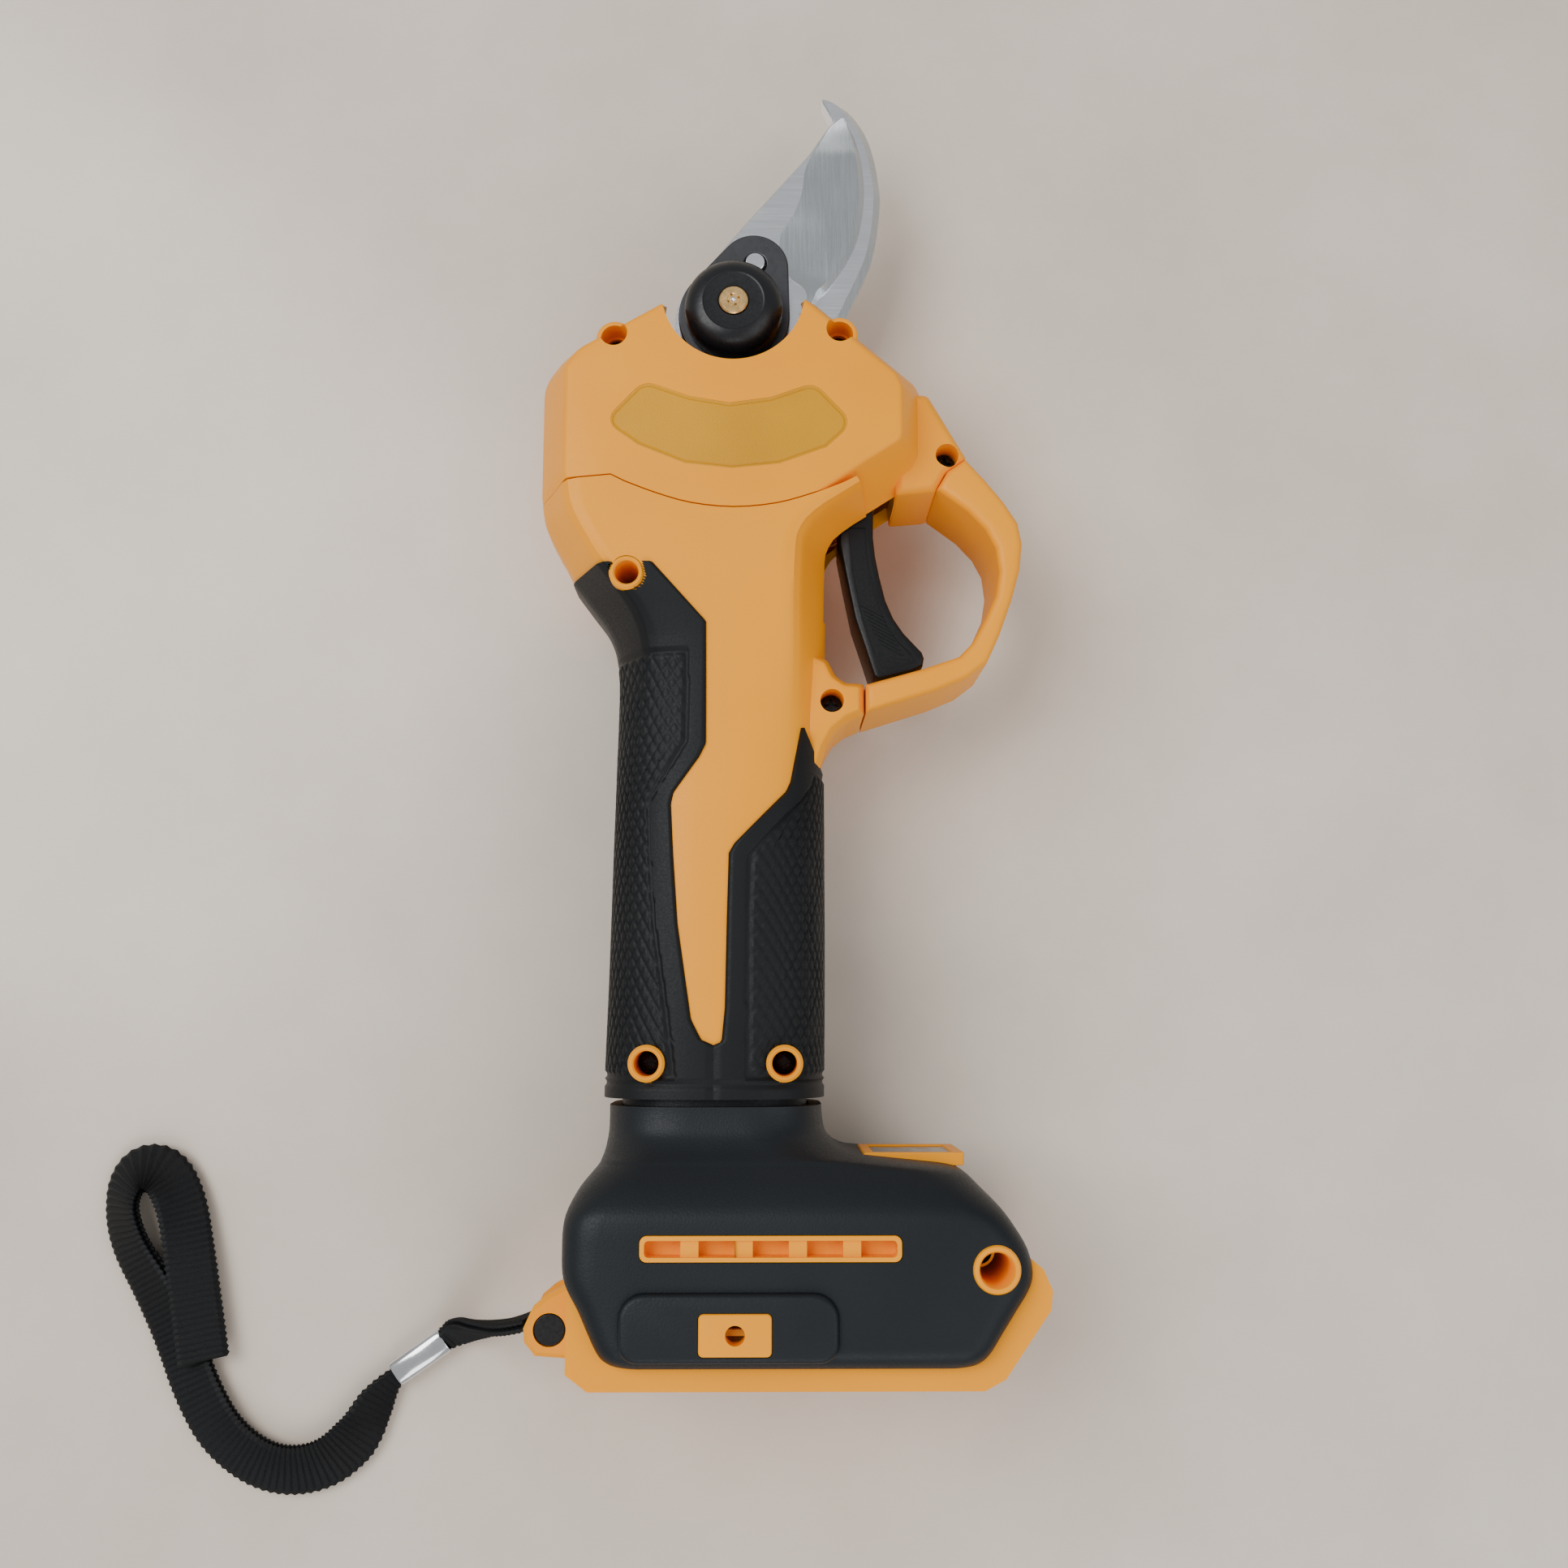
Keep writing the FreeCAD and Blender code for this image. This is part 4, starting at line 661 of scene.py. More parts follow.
for x, y in shellScrews:
    shell = carve(shell, cylinder(x, y, 3.3, -1, 40))
shell = carve(shell, cylinder(*stubScrew, body["screwHole"], 4, 40))
seamArc = smoothRows([(-21, -39.4), (-15, -41.7), (-8, -43.7), (0.3, -44.5), (8.6, -43.7), (15.6, -41.7),
                      (21.6, -39.4)], 3)
seamPoints = [(-36, -39.2), (-23.8, -38.0)] + seamArc + [(24.4, -38.0), (27.5, -42), (29, -49)]
headSide = [(-70, -39.2)] + seamPoints + [(70, -49), (70, 30), (-70, 30)]
shellCut = [(x, y - body["seamGap"]) for x, y in headSide]
shell = carve(shell, outlineBlock(list(reversed(shellCut)), -5, 40))
triggerRoom = [(16.2, -64), (31.5, -64), (34.5, -46), (31.5, -30), (19.5, -30), (16.2, -44)]
shell = carve(shell, outlineBlock(list(reversed(triggerRoom)), -5, 7.6))
tubes = [screwTube(x, y, top) for (x, y), top in zip(shellScrews, (21.9, 20.2, 20.2))]
lowerShell = mirrored(shell)
lowerTubes = [mirrored(tube) for tube in tubes]
finishPiece("main_shell_upper_form", join(shell, *tubes), "shell_yellow", node="main_shell_upper")
finishPiece("main_shell_lower_form", join(lowerShell, *lowerTubes), "shell_yellow", node="main_shell_lower")
print("main shells made")

# Rubber over the grip: one sheet each side of the yellow panel, with raised scales
rubber = {"lift": 0.8, "scaleWide": 2.5, "scaleLong": 3.6, "scaleRise": 0.34, "bandTop": (-95.3, -72.6),
          "bandEnd": -154.6, "ringGroove": -155.6, "grooveDepth": 0.35, "bandDepth": 0.42, "arc": 20.5,
          "step": 0.5}
leftBorder = [(-55.8, -15.6), (-67.2, -5.0), (-91, -4.9), (-93.6, -6.2), (-100.5, -11.3), (-102.6, -11.8),
              (-112.8, -11.2), (-125.6, -10.2), (-143.5, -7.4), (-147.3, -5.4), (-148.3, -3.0), (-159, -3.0)]
rightBorder = [(-87.1, 14.2), (-93, 13.0), (-98, 12.0), (-100, 11.1), (-110.3, 0.8), (-112.2, -0.3),
               (-124.2, -0.6), (-141.4, -0.9), (-147.7, -1.5), (-148.3, -3.0), (-159, -3.0)]
leftBand = [(-55.8, -60), (-72.6, -60), (-72.7, -8.2), (-90.5, -8.2), (-102.2, -15.6), (-112.8, -15.2),
            (-125.6, -14.2), (-143.5, -11.4), (-154.6, -10), (-154.7, -60), (-159, -60)]
rightBand = [(-87.1, 60), (-95.3, 60), (-95.4, 16.4), (-98.4, 15.6), (-101.6, 13.4), (-112.4, 3.4),
             (-124.2, 3.0), (-154.6, 3.0), (-154.7, 60), (-159, 60)]


def angleAt(curve, x):
    low, high = 0.0, 180.0
    for k in range(26):
        middle = (low + high) / 2
        if curve(middle).x > x:
            low = middle
        else:
            high = middle
    return low


def scaleHeight(across, y):
    u = across / rubber["scaleWide"]
    v = y / rubber["scaleLong"]
    best = 0.0
    for shift in (0.0, 0.5):
        a = abs((u + shift) % 1 - 0.5) * 2
        b = abs((v + shift) % 1 - 0.5) * 2
        best = max(best, 1 - (a + b))
    return min(1.0, best * 3.2)


def rubberSheet(border, band, limits, endAngle, columns):
    rows = []
    for y in levels(limits[0], limits[1], rubber["step"]):
        curve = sectionCurve(y, rubber["lift"])
        start = angleAt(curve, along(border, y))
        stop = angleAt(curve, along(rightStop, y)) if endAngle == 0 else 180.0
        bandAngle = angleAt(curve, max(min(along(band, y), 40), -40))
        row = []
        for k in range(columns + 1):
            angle = start + (stop - start) * k / columns
            here = curve(angle)
            ahead = curve(min(angle + 0.5, 180)) - curve(max(angle - 0.5, 0))
            outward = Vector((ahead.y, -ahead.x)).normalized()
            across = math.radians((angle - bandAngle) * (1 if endAngle else -1)) * rubber["arc"]
            within = min(across, rubber["bandTop"][endAngle > 0] - y, y - rubber["bandEnd"])
            rise = 0.0
            if within > 0:
                ramp = min(max((within - 0.7) / 0.5, 0), 1)
                scale = rubber["scaleRise"] * scaleHeight(math.radians(angle) * rubber["arc"], y)
                rise = -rubber["bandDepth"] * (1 - ramp) + ramp * (scale - 0.3)
            if k == 0 or abs(y - rubber["ringGroove"]) < 0.3:
                rise -= rubber["grooveDepth"]
            row.append(here + outward * rise)
        rows.append((y, row))
    return rows


rightStop = [(-87.1, 14.25), (-94, 17.4), (-96.5, 19.0), (-96.6, 60), (-159, 60)]


def rubberMesh(rows):
    count = len(rows[0][1])
    bm = bmesh.new()
    bmesh.ops.create_grid(bm, x_segments=count - 1, y_segments=len(rows) - 1, size=0.5)
    bm.verts.ensure_lookup_table()
    order = sorted(bm.verts, key=lambda vert: (round(-vert.co.y, 5), round(vert.co.x, 5)))
    for k, vert in enumerate(order):
        y, row = rows[k // count]
        point = row[k % count]
        vert.co = (point.x, y, max(point.y, 0))
    doomed = [vert for vert in bm.verts
              if any(math.hypot(vert.co.x - x, vert.co.y - y) < 3.25 for x, y in shellScrews)]
    bmesh.ops.delete(bm, geom=doomed, context="VERTS")
    bmesh.ops.remove_doubles(bm, verts=bm.verts, dist=0.01)
    edges = [edge for edge in bm.edges if edge.is_boundary]
    made = bmesh.ops.extrude_edge_only(bm, edges=edges)
    for vert in (item for item in made["geom"] if isinstance(item, bmesh.types.BMVert)):
        toward = Vector((-3 - vert.co.x, 0, -vert.co.z * 0.9)).normalized()
        vert.co += toward * 0.9
        vert.co.z = max(vert.co.z, 0)
    bmesh.ops.recalc_face_normals(bm, faces=bm.faces)
    if sum(face.normal.z * face.calc_area() for face in bm.faces) < 0:
        bmesh.ops.reverse_faces(bm, faces=bm.faces)
    return bm


leftRows = rubberSheet(leftBorder, leftBand, (-55.8, -158.35), 180, 100)
rightRows = rubberSheet(rightBorder, rightBand, (-87.1, -158.35), 0, 90)
sheets = [rubberMesh(rows) for rows in (leftRows, rightRows)]
lowerSheets = [mirrored(sheet) for sheet in sheets]
finishPiece("grip_rubber_upper_form", join(*sheets), "grip_rubber", node="grip_rubber_upper", angle=60)
finishPiece("grip_rubber_lower_form", join(*lowerSheets), "grip_rubber", node="grip_rubber_lower", angle=60)
print("grip rubber made")

# Head covers
head = {"half": 22.0, "band": 6.5, "notch": 14.3, "soft": 1.7, "labelDepth": 0.6}
headPoints = [(19.2, -58), (19.2, -49.5), (21.5, -46), (27.8, -41.7), (37.8, -35.2), (39.9, -31), (39.9, -18),
              (37.6, -13), (16.6, 5.0), (-15.8, 3.8), (-35.0, -7.4), (-39.4, -13.5), (-39.4, -38),
              (-37.2, -46.8), (-31.5, -57)]
ear = [(33, -38.3), (41, -37.6), (43.2, -33.6), (47.6, -30.6), (39.8, -17), (33, -16.3)]
headCover = shoulderBlock(headPoints, 0, 6, head["half"], head["band"], [(2.5, [10, 11])], head["soft"])
headCover = carve(headCover, shoulderBlock(ear, 0, 10.5, 12, 1.2, (), 0.6), "UNION")
inside = shoulderBlock(insetPoints(headPoints, 2.4), -1, 5.6, head["half"] - 2.4, 5.8, (), 0)
headCover = carve(headCover, inside)
gripSide = [(-80, -39.2), (-36, -39.2)] + seamPoints[1:] + [(80, -49), (80, -90), (-80, -90)]
headCover = carve(headCover, outlineBlock(gripSide, -5, 40))
headScrews = [(-23.7, -8.8), (21.3, -7.7)]
earScrew = (43.4, -30.2)
for x, y in headScrews:
    ring = cylinder(x, y, 3.7, 0, 19.0, segments=64)
    bevelEdges(ring, rimEdges(ring, 19.0), 0.5, 3)
    headCover = carve(headCover, ring, "UNION")
    headCover = carve(headCover, cylinder(x, y, 2.75, 13.4, 40, segments=48))
headCover = carve(headCover, cylinder(0, 0, head["notch"], -5, 40, segments=96))
for x, y in headScrews + [earScrew]:
    headCover = carve(headCover, cylinder(x, y, body["screwHole"], 4, 40))
bladeRoom = [(-19.5, -14.5), (17, -14.5), (17.2, -2.6), (23.5, -1.5), (28, 8), (28, 25), (-19.5, 25)]
upperCover = carve(headCover.copy(), outlineBlock(bladeRoom, -5, 8.45))
lowerCover = carve(mirrored(headCover), outlineBlock(bladeRoom, -3.5, 5))
labelPoints = [(-25.6, -27.3), (-17.6, -18.7), (-8.4, -21.9), (-0.6, -23.2), (7.6, -22.0), (16.2, -18.9),
               (24.2, -27.4), (18.6, -32.6), (9.4, -36.0), (0, -37.0), (-9.4, -36.0), (-18.6, -32.3)]
labelRounds = [(3.2, [0, 6]), (2.2, [1, 5])]
labelFloor = head["half"] - head["labelDepth"]
recess = outlineBlock(insetPoints(labelPoints, -0.15), labelFloor, 30, labelRounds)
lowerCover = carve(lowerCover, mirrored(recess))
upperCover = carve(upperCover, recess)
for sign, cover, name in ((1, upperCover, "upper"), (-1, lowerCover, "lower")):
    low, high = sorted((0, sign * 7.6))
    cover = carve(cover, outlineBlock(triggerRoom, low - 0.5 * (sign > 0), high + 0.5 * (sign < 0)))
    finishPiece("head_cover_%s_form" % name, cover, "shell_yellow", node="head_cover_" + name)
label = outlineBlock(labelPoints, labelFloor, head["half"] - 0.12, labelRounds)
top = topFace(label)
for thickness, depth in ((0.45, 0), (0.25, -0.22), (0.25, 0.22)):
    bmesh.ops.inset_region(label, faces=[top], thickness=thickness, depth=depth, use_even_offset=True)
lowerLabel = mirrored(label)
finishPiece("label_plate_upper_form", label, "label_gold", node="label_plate_upper")
finishPiece("label_plate_lower_form", lowerLabel, "label_gold", node="label_plate_lower")
print("head covers made")

# Trigger guard and trigger
guard = {"half": 12, "soft": 1.5}
guardPoints = [(50.8, -73.2), (46.6, -76.4), (40.4, -79.0), (26.6, -83.4), (26.6, -77.6), (38, -74.4),
               (45.3, -71.9), (47.8, -69.3), (50.6, -64.3), (52.8, -59.4), (53.6, -54.5), (53.0, -49.5),
               (51.0, -45.6), (47.5, -41.8), (41.3, -37.2), (43.5, -33.4), (47.2, -30.8), (51.0, -35.0),
               (54.8, -39.8), (57.6, -44.2), (58.4, -48.5), (57.8, -54.0), (56.0, -60.4), (53.4, -67.6)]


def guardForm():
    form = outlineBlock(list(reversed(guardPoints)), -guard["half"], guard["half"])
    bevelEdges(form, rimEdges(form, guard["half"]) + rimEdges(form, -guard["half"]), guard["soft"], 4)
    return form


finishPiece("trigger_guard_loop", guardForm(), "shell_yellow", node="trigger_guard", angle=28)

trigger = {"half": 7, "soft": 0.8, "panel": 6.65, "pin": (25.5, -37), "pinHole": 1.56}
triggerPoints = [(38.7, -71.2), (38.4, -72.8), (36.6, -73.9), (29.4, -75.7), (28.4, -75), (26.7, -69.5),
                 (24.6, -63), (22.9, -54.5), (21.6, -47.4), (21.9, -37), (23.3, -25), (26.7, -25),
                 (28.7, -35), (28.6, -46), (29.0, -50), (29.8, -54.2), (31, -59.2), (32.6, -63.0),
                 (34.6, -66.0), (36.8, -68.4), (38.3, -70)]
triggerPanel = [(30.2, -73.6), (35.6, -72.2), (36.2, -70.6), (33.6, -68.0), (31.4, -64.9), (29.6, -60.4),
                (28.2, -55.0), (27.3, -50.2), (27.0, -44.0), (23.4, -44.0), (24.3, -53.5), (26.1, -62.8),
                (28.5, -70.4)]


def triggerForm():
    half, panel, pin = trigger["half"], trigger["panel"], trigger["pin"]
    form = outlineBlock(list(reversed(triggerPoints)), -half, half)
    bevelEdges(form, rimEdges(form, half) + rimEdges(form, -half), trigger["soft"], 3)
    form = carve(form, cylinder(*pin, 4.0, -6.9, 6.9), "UNION")
    form = carve(form, outlineBlock(triggerPanel, panel, 9))
    form = carve(form, outlineBlock(triggerPanel, -9, -panel))
    form = carve(form, cylinder(*pin, 3.6, -3.3, 3.3))
    return carve(form, cylinder(*pin, trigger["pinHole"], -30, 30))


finishPiece("trigger_lever_form", triggerForm(), "trigger_black", body="trigger_lever", node="trigger",
            angle=28)
ribs = [box((-0.13, 0.13), (-2.6, 2.6), (6.5, 6.85)) for k in range(9)]
for k, rib in enumerate(ribs):
    at = Matrix.Translation((28.2 + 0.5 * k, -61.4 - 1.0 * k, 0))
    bmesh.ops.transform(rib, matrix=at @ Matrix.Rotation(math.radians(62), 4, "Z"), verts=rib.verts)
finishPiece("trigger_ribs", join(*ribs), "trigger_black", body="trigger_lever")
print("trigger and guard made")

# Foot covers, pad, vents, latch windows
foot = {"wall": 2.4, "padTop": 31.0, "ventTop": 29.75, "latchTop": 31.3}
# Level y, left, right, half thickness, corner radius
footRows = [
    (-159.7, -23.4, 17.6, 19.6, 15.0), (-161.5, -23.4, 17.7, 19.6, 15.0), (-164.5, -23.4, 18.2, 20.0, 14.5),
    (-167, -23.6, 20.0, 21.3, 13), (-168.6, -23.9, 23.4, 22.6, 12), (-169.3, -24.1, 29.0, 23.2, 11),
    (-170.0, -24.3, 36.0, 23.7, 10.5), (-170.6, -24.7, 41.0, 24.2, 10), (-171.6, -25.5, 43.8, 25.0, 9.5),
    (-174, -27.4, 46.3, 26.9, 8.8), (-177.5, -29.2, 49.7, 29.0, 8), (-180.5, -29.9, 51.9, 29.5, 7.4),
    (-184.5, -30.0, 54.2, 29.5, 7), (-188.6, -29.8, 55.0, 29.5, 6.6), (-191.5, -28.9, 54.3, 29.5, 6.4),
    (-195, -26.9, 52.0, 29.5, 6), (-199, -25.0, 49.3, 29.5, 5.6), (-201.6, -23.7, 47.6, 29.5, 5.4),
    (-203.2, -22.7, 46.4, 28.8, 5.2), (-204.3, -21.4, 45.2, 27.6, 5), (-204.7, -20.0, 43.9, 26.9, 4.8),
]


def footRing(row, shrink=0.0, base=0.0):
    y, left, right, half, radius = row
    left, right, half = left + shrink, right - shrink, half - shrink
    radius = max(radius - shrink, 1.0)
    power = 2 / 2.3
    ring = [Vector((right, y, base))]
    ring += [Vector((right, y, (half - radius) * share)) for share in (0.35, 0.7)]
    for k in range(9):
        angle = math.pi / 2 * k / 8
        ring.append(Vector((right - radius + radius * math.cos(angle) ** power, y,
                            half - radius + radius * math.sin(angle) ** power)))
    top = left - right + 2 * radius
    ring += [Vector((right - radius + top * share, y, half)) for share in (0.1, 0.3, 0.5, 0.7, 0.9)]
    for k in range(9):
        angle = math.pi / 2 * k / 8
        ring.append(Vector((left + radius - radius * math.sin(angle) ** power, y,
                            half - radius + radius * math.cos(angle) ** power)))
    ring += [Vector((left, y, (half - radius) * share)) for share in (0.7, 0.35)]
    ring.append(Vector((left, y, base)))
    return ring


rows = smoothRows(footRows, 3)
cover = loft([footRing(row) for row in rows])
padPoints = [(-19.2, -203.2), (19.8, -203.2), (19.8, -191.2), (-19.2, -191.2)]
pad = outlineBlock(padPoints, 20, foot["padTop"], [(4.6, [2, 3]), (3.4, [0, 1])], 7)
bevelEdges(pad, rimEdges(pad, foot["padTop"]), 1.1, 4)
cover = carve(cover, pad, "UNION")
rows[0][0] += 0.4
rows[-1][0] -= 0.3
hollow = [footRing(row, foot["wall"], -1) for row in rows]
cover = carve(cover, loft(hollow))
footScrew = (47.8, -187.5)
cover = carve(cover, cylinder(footScrew[0], footScrew[1], 4.35, -1, 40))
framePoints = [(-25, -209.2), (46, -209.2), (49.8, -207.2), (58.2, -195.3), (58.6, -192.0), (57.0, -188.2),
               (51, -183.2), (43, -182.2), (43, -193.2), (-24, -193.2), (-28.8, -191.7), (-29, -206.2)]
cover = carve(cover, outlineBlock(framePoints, -1, 24.15))
vent = {"x": (-15.6, 31.0), "y": -183.8, "half": 2.3, "windows": 5, "rib": 3.2, "frame": 0.85}
ventPoints = [(vent["x"][0], vent["y"] - vent["half"]), (vent["x"][1], vent["y"] - vent["half"]),
              (vent["x"][1], vent["y"] + vent["half"]), (vent["x"][0], vent["y"] + vent["half"])]
cover = carve(cover, outlineBlock(insetPoints(ventPoints, -0.1), 25.5, 40, [(1.3, [0, 1, 2, 3])]))
latchPoints = [(-5.0, -201.9), (7.9, -201.9), (7.9, -194.6), (-5.0, -194.6)]
cover = carve(cover, outlineBlock(insetPoints(latchPoints, -0.12), 24.0, 40, [(1.0, [0, 1, 2, 3])]))
cover = carve(cover, box((25.3, 44.7), (-174, -165), (-1, 11.1)))
cover = join(cover, bodyForm([-155.9, -158, -161], -2.7))
lowerFoot = mirrored(cover)
finishPiece("foot_cover_upper_form", cover, "cover_black", node="foot_cover_upper", angle=38)
finishPiece("foot_cover_lower_form", lowerFoot, "cover_black", node="foot_cover_lower", angle=38)

frameRing = turned([(3.0, 5.5), (3.0, 29.2), (3.3, 29.75), (4.0, 29.75), (4.3, 29.3), (4.3, 5.5)],
                   *footScrew, steps=48)
lowerRing = mirrored(frameRing)
finishPiece("foot_screw_tubes", join(frameRing, lowerRing), "shell_yellow")

ventSpan = vent["x"][1] - vent["x"][0] - 2 * vent["frame"]
windowLength = (ventSpan - (vent["windows"] - 1) * vent["rib"]) / vent["windows"]
grille = outlineBlock(ventPoints, 24.6, foot["ventTop"], [(1.3, [0, 1, 2, 3])])
bevelEdges(grille, rimEdges(grille, foot["ventTop"]), 0.3, 2)
for k in range(vent["windows"]):
    start = vent["x"][0] + vent["frame"] + k * (windowLength + vent["rib"])
    end = start + windowLength
    y0, y1 = vent["y"] - vent["half"] + vent["frame"], vent["y"] + vent["half"] - vent["frame"]
    rounds = [(0.8, [0, 3])] if k == 0 else [(0.8, [1, 2])] if k == vent["windows"] - 1 else []
    grille = carve(grille, outlineBlock([(start, y0), (end, y0), (end, y1), (start, y1)], 25.6, 32, rounds))
    if k:
        grille = carve(grille, box((start - vent["rib"], start), (y0, y1), (29.1, 30.5)))
lowerGrille = mirrored(grille)
finishPiece("vent_grille_upper_form", grille, "shell_yellow", node="vent_grille_upper")
finishPiece("vent_grille_lower_form", lowerGrille, "shell_yellow", node="vent_grille_lower")

latch = outlineBlock(latchPoints, 27.1, foot["latchTop"], [(0.9, [0, 1, 2, 3])])
bevelEdges(latch, rimEdges(latch, foot["latchTop"]), 0.35, 3)
latch = carve(latch, cylinder(1.45, -198.25, 1.75, 20, 40))
lowerLatch = mirrored(latch)
finishPiece("latch_window_upper_form", latch, "shell_yellow", node="latch_window_upper")
finishPiece("latch_window_lower_form", lowerLatch, "shell_yellow", node="latch_window_lower")
tongues = [box((-0.4, 3.3), (-198.8, -197.7), span) for span in ((25.0, 28.2), (-28.2, -25.0))]
finishPiece("latch_tongues", join(*tongues), "label_gold")

softCopy("battery_frame", "shell_yellow", 0.9, segments=3)
softCopy("display_bezel", "shell_yellow", 0.45, segments=3)
print("foot made")


def digitBars():
    middle, low = 35.6, -2.6
    # Each bar of a digit: sideways, up, width, height
    segments = [(0.3, 5.0, 2.6, 0.6), (0.3, 2.4, 2.6, 0.6), (0.3, -0.2, 2.6, 0.6), (0, 0.3, 0.6, 2.2),
                (2.7, 0.3, 0.6, 2.2), (0, 2.9, 0.6, 2.2), (2.7, 2.9, 0.6, 2.2)]
    bars = []
    for left in (-4.6, 0.9):
        for dx, dz, wide, tall in segments:
            x, z = middle + left + dx, low + dz
            bars.append(box((x, x + wide), (-169.25, -169.15), (z, z + tall)))
    return join(*bars)


finishPiece("display_digits", digitBars(), "window_dark", finish=buildDigits())

# Blades
blade = {"low": 2.05, "high": 6.05, "edge": 0.3}
# Spine, start of the grind, cutting edge
bladeRows = [
    ((-9.3, 8.3), (12.0, -2.3), (12.2, -2.5)), ((-5, 13.9), (15.2, 6.8), (17.4, 7.1)),
    ((-2.6, 17.0), (11.4, 11.3), (20, 10.4)),
    ((0, 20.2), (9.7, 16.0), (23.1, 15)), ((2.6, 23.4), (10, 20.8), (25.8, 20.7)),
    ((6, 27.4), (12.6, 25.2), (27.1, 26.5)),
    ((10, 32.1), (14.3, 29.8), (27.6, 32.1)), ((13.6, 36.3), (14.9, 34.6), (27.3, 36.6)),
    ((15.8, 39.0), (16.3, 38.3), (26.9, 39.8)), ((18, 42.3), (18.4, 42.0), (26.1, 42.8)),
    ((20.1, 45.3), (20.4, 45.0), (25.3, 45.3)), ((22.5, 47.25), (22.7, 47.1), (24.1, 47.25)),
]


def cuttingBlade():
    flat = [[*a, *b, *c] for a, b, c in bladeRows]
    rings = []
    for sx, sy, gx, gy, ex, ey in smoothRows(flat, 5):
        spine, grind, edge = Vector((sx, sy)), Vector((gx, gy)), Vector((ex, ey))
        across = edge - grind
        reach = min(1.1, across.length * 0.3)
        relief = edge - across.normalized() * reach if across.length > 0.01 else edge
        deep = min(1.0, across.length / 10)
        low, high = blade["low"], blade["high"]
        chamfer = spine + (edge - spine).normalized() * 0.35
        stations = [(spine, low + 0.3), (chamfer, low), (edge, low), (edge, low + blade["edge"]),
                    (relief, high - 2.6 * deep - 0.3 * (1 - deep)),
                    (grind.lerp(relief, 0.66), high - 2.1 * deep),
                    (grind.lerp(relief, 0.33), high - 1.25 * deep), (grind, high - 0.15 * deep),
                    (grind - across.normalized() * min(0.2, (grind - spine).length * 0.3), high),
                    (chamfer, high), (spine, high - 0.3)]
        rings.append([Vector((p.x, p.y, z)) for p, z in stations])
    bm = loft(rings)
    bmesh.ops.remove_doubles(bm, verts=bm.verts, dist=0.01)
    tang = cylinder(0, 0, 12.5, blade["low"], blade["high"], segments=72)
    bm = carve(bm, tang, "UNION")
    return carve(bm, cylinder(0, 0, 5.52, -5, 20))


def grind(piece, isGround):
    piece.data.materials.append(finishes["blade_ground"])
    backToTool = toRow.inverted()
    for face in piece.data.polygons:
        centre = backToTool @ face.center
        normal = (backToTool.to_3x3() @ face.normal).normalized()
        if isGround(centre.z, normal.z):
            face.material_index = 1


bladePiece = finishPiece("moving_blade_form", cuttingBlade(), "blade_steel", body="cutter",
                         node="moving_blade", angle=18)
grind(bladePiece, lambda z, slope: blade["low"] + 0.2 < z < blade["high"] - 0.05 and slope > 0.3)

hook = {"low": -3.0, "high": 2.0}
# Inner edge, outer edge
hookRows = [
    ((0, 12.4), (13.2, -2.7)), ((4.5, 12.8), (22.0, 2.5)), ((9.5, 15.4), (25, 7.6)),
    ((14.6, 19.0), (27.3, 12.5)),
    ((18.6, 22.8), (29.1, 17.1)), ((22.4, 27.8), (30.4, 23.4)), ((24.2, 32.2), (31.1, 30.6)),
    ((24.6, 36.4), (30.8, 35.3)), ((24.1, 40.8), (29.8, 41.1)), ((22.6, 45.2), (28.1, 46.4)),
    ((20.7, 49.6), (25.3, 50.8)), ((19.0, 52.9), (22.8, 52.95)), ((18.6, 53.9), (19.4, 54.1)),
]


def hookBlade():
    rings = []
    low, high = hook["low"], hook["high"]
    for ix, iy, ox, oy in smoothRows([[*a, *b] for a, b in hookRows], 5):
        inner, outer = Vector((ix, iy)), Vector((ox, oy))
        across = outer - inner
        rim = outer - across.normalized() * min(1.5, across.length * 0.35)
        stations = [(inner, low + 0.4), (inner + across * 0.1, low), (rim, low), (outer, low + 1.4),
                    (outer, high - 1.5), (rim, high), (inner + across * 0.08, high), (inner, high - 0.3)]
        rings.append([Vector((p.x, p.y, z)) for p, z in stations])
    bm = loft(rings)
    bm = carve(bm, cylinder(0, 0, 12.5, low, high, segments=72), "UNION")
    return carve(bm, cylinder(0, 0, 4.02, -8, 8))


hookPiece = finishPiece("hook_blade_form", hookBlade(), "blade_steel", node="hook_blade", angle=18)
grind(hookPiece, lambda z, slope: z > 0.3 and 0.3 < slope < 0.95)

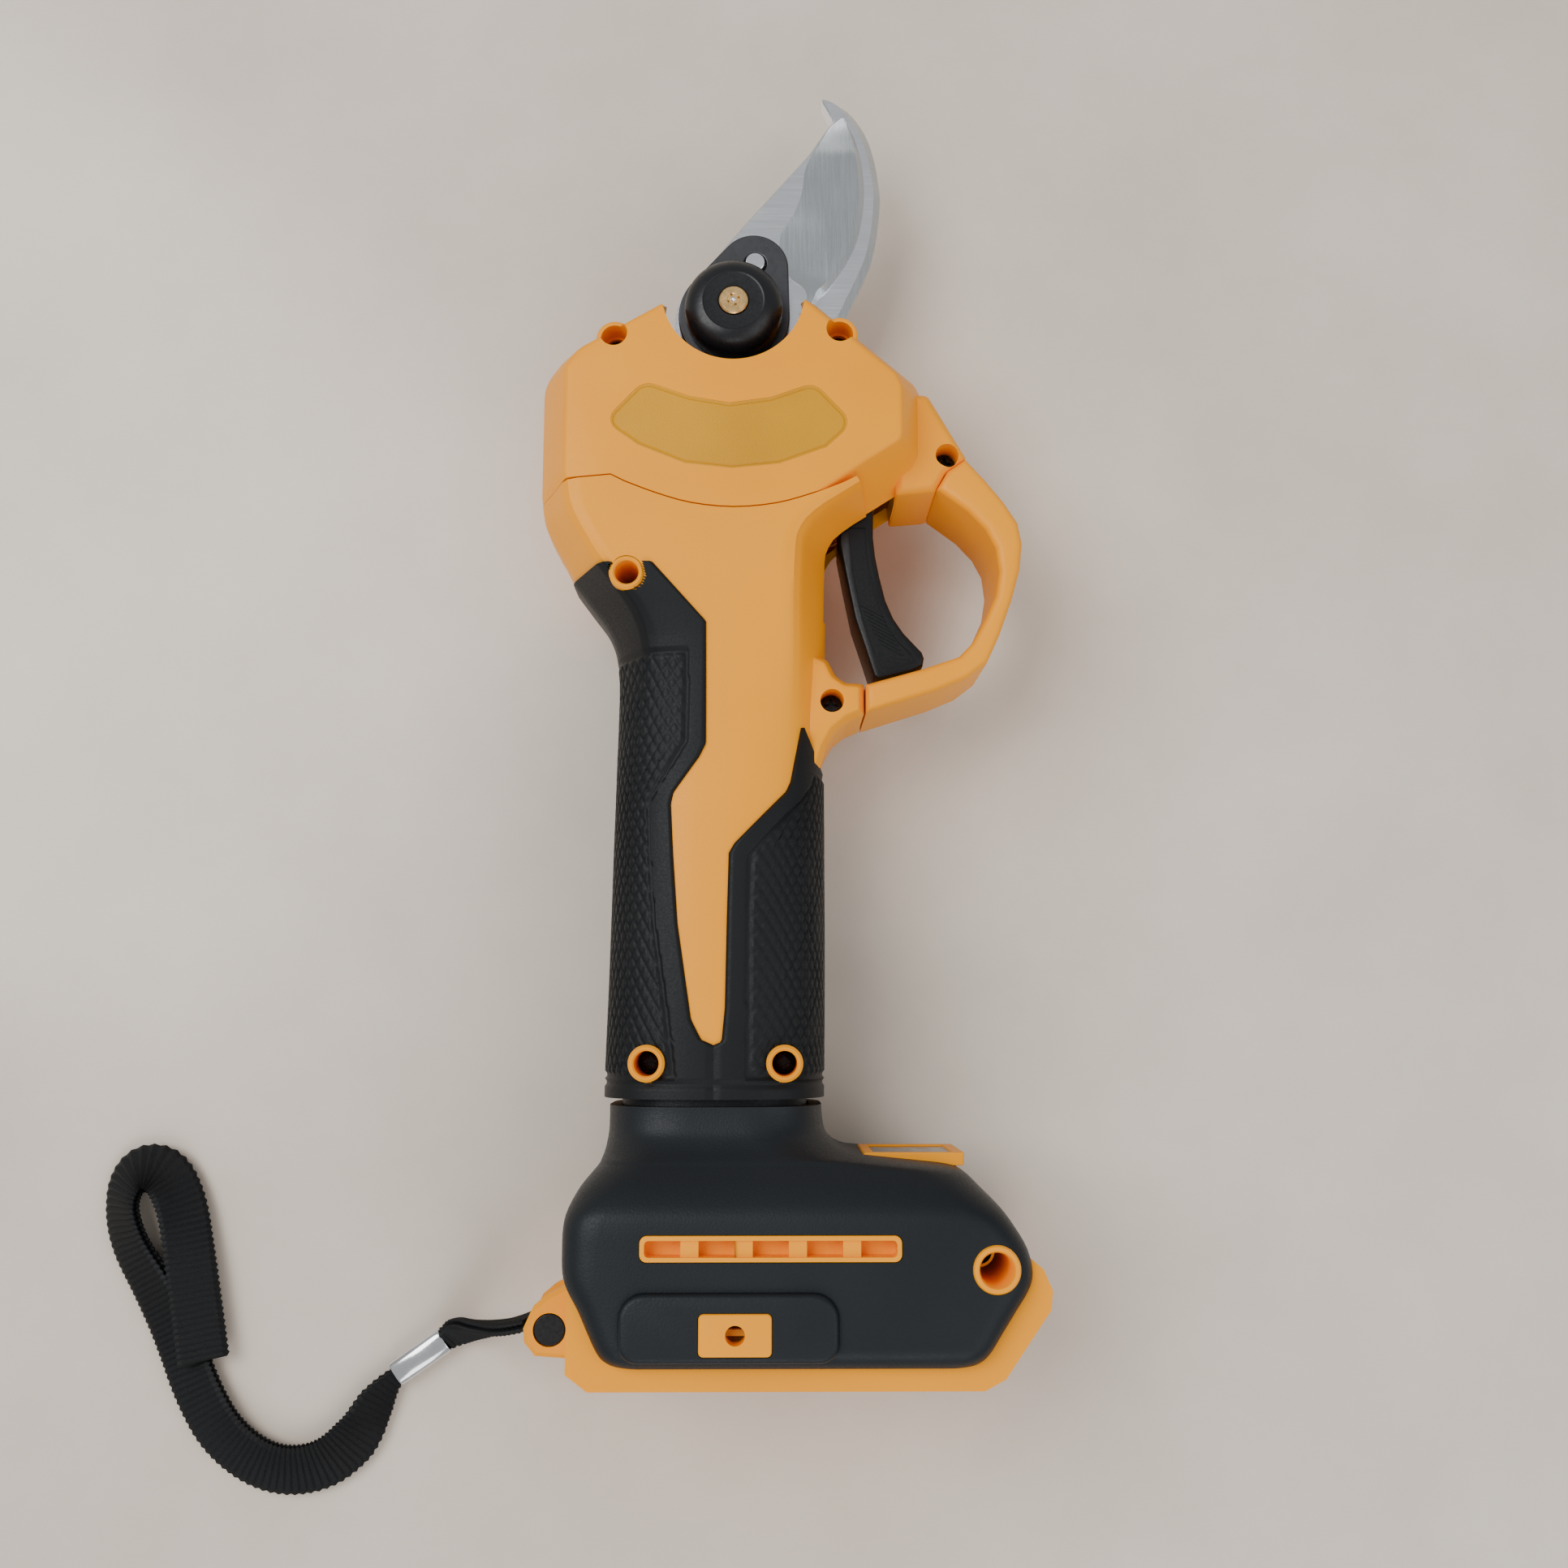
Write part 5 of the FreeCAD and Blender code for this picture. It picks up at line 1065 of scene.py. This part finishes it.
# Pivot
nut = turned([(4.02, 10.6), (9.3, 10.6), (9.9, 11.2), (10.0, 12.0), (10.0, 14.4), (9.85, 15.3), (9.4, 16.1),
              (8.6, 16.9), (7.5, 17.6), (6.5, 17.95), (6.3, 18.0), (6.15, 17.92), (5.9, 17.9), (3.2, 17.9),
              (3.06, 17.75), (3.06, 16.1), (4.02, 16.1)], steps=96)
finishPiece("pivot_nut_form", nut, "fastener_black", node="pivot_nut", angle=25)
disc = turned([(0, 16.15), (2.95, 16.15), (2.95, 18.1), (2.7, 18.35), (1.35, 18.35), (1.2, 18.2), (0, 18.2)],
              steps=64)
pit = {"reach": 1.1, "half": 0.22}
for angle in (0.4, 1.97, 3.54, 5.11):
    x, y = pit["reach"] * math.cos(angle), pit["reach"] * math.sin(angle)
    half = pit["half"]
    disc = carve(disc, box((x - half, x + half), (y - half, y + half), (17.6, 19)))
finishPiece("adjuster_disc", disc, "brass", node="adjuster_screw", angle=25)
pip = bmesh.new()
bmesh.ops.create_uvsphere(pip, u_segments=20, v_segments=12, radius=0.62,
                          matrix=Matrix.Translation((0, 0, 18.05)))
finishPiece("adjuster_pip", pip, "blade_steel")
softCopy("lock_plate", "plate_dark", 0.35, body="cutter")
softCopy("lock_pin", "blade_steel", 0.3, body="cutter")
softCopy("lug_screw", "fastener_black", 0.15)
print("blades and pivot made")


def crossScrew(x, y, seat, top, radius=2.2):
    screw = turned([(0, seat), (radius, seat), (radius, top - 0.9), (radius * 0.86, top - 0.3),
                    (radius * 0.5, top), (0, top)], x, y, 32)
    for reach, half in ((1.35, 0.3), (0.3, 1.35)):
        screw = carve(screw, box((x - reach, x + reach), (y - half, y + half), (top - 1.3, top + 1)))
    return carve(screw, cylinder(x, y, 0.75, top - 1.2, top + 1, segments=16))


screwTops = [(*headScrews[0], 13.2), (*headScrews[1], 13.2), (*earScrew, 6.6), (*stubScrew, 6.6),
             (*shellScrews[0], 6.6), (*shellScrews[1], 9.4), (*shellScrews[2], 9.4)]
shanks = [cylinder(x, y, 1.45, -12, 4.05, segments=24) for x, y, top in screwTops]
screws = [crossScrew(x, y, 4.02, top) for x, y, top in screwTops]
finishPiece("cover_screws", join(*screws, *shanks), "fastener_black",
            node=("head_screws", "guard_screws", "grip_screws"))
footShank = join(crossScrew(*footScrew, 5.5, 8.0), cylinder(*footScrew, 1.45, -12, 5.6, segments=24))
finishPiece("foot_screw", footShank, "fastener_black")

# Carried-over nodes
for name, obj in nodes.items():
    slot = next(part["material_slot"] for part in frame["record"]["subparts"] if part["node"] == name)
    obj.data.materials.clear()
    obj.data.materials.append(finishes[slot])

size = {"cad": [list(corner) for corner in cadBox], "visual": [list(corner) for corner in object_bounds()]}
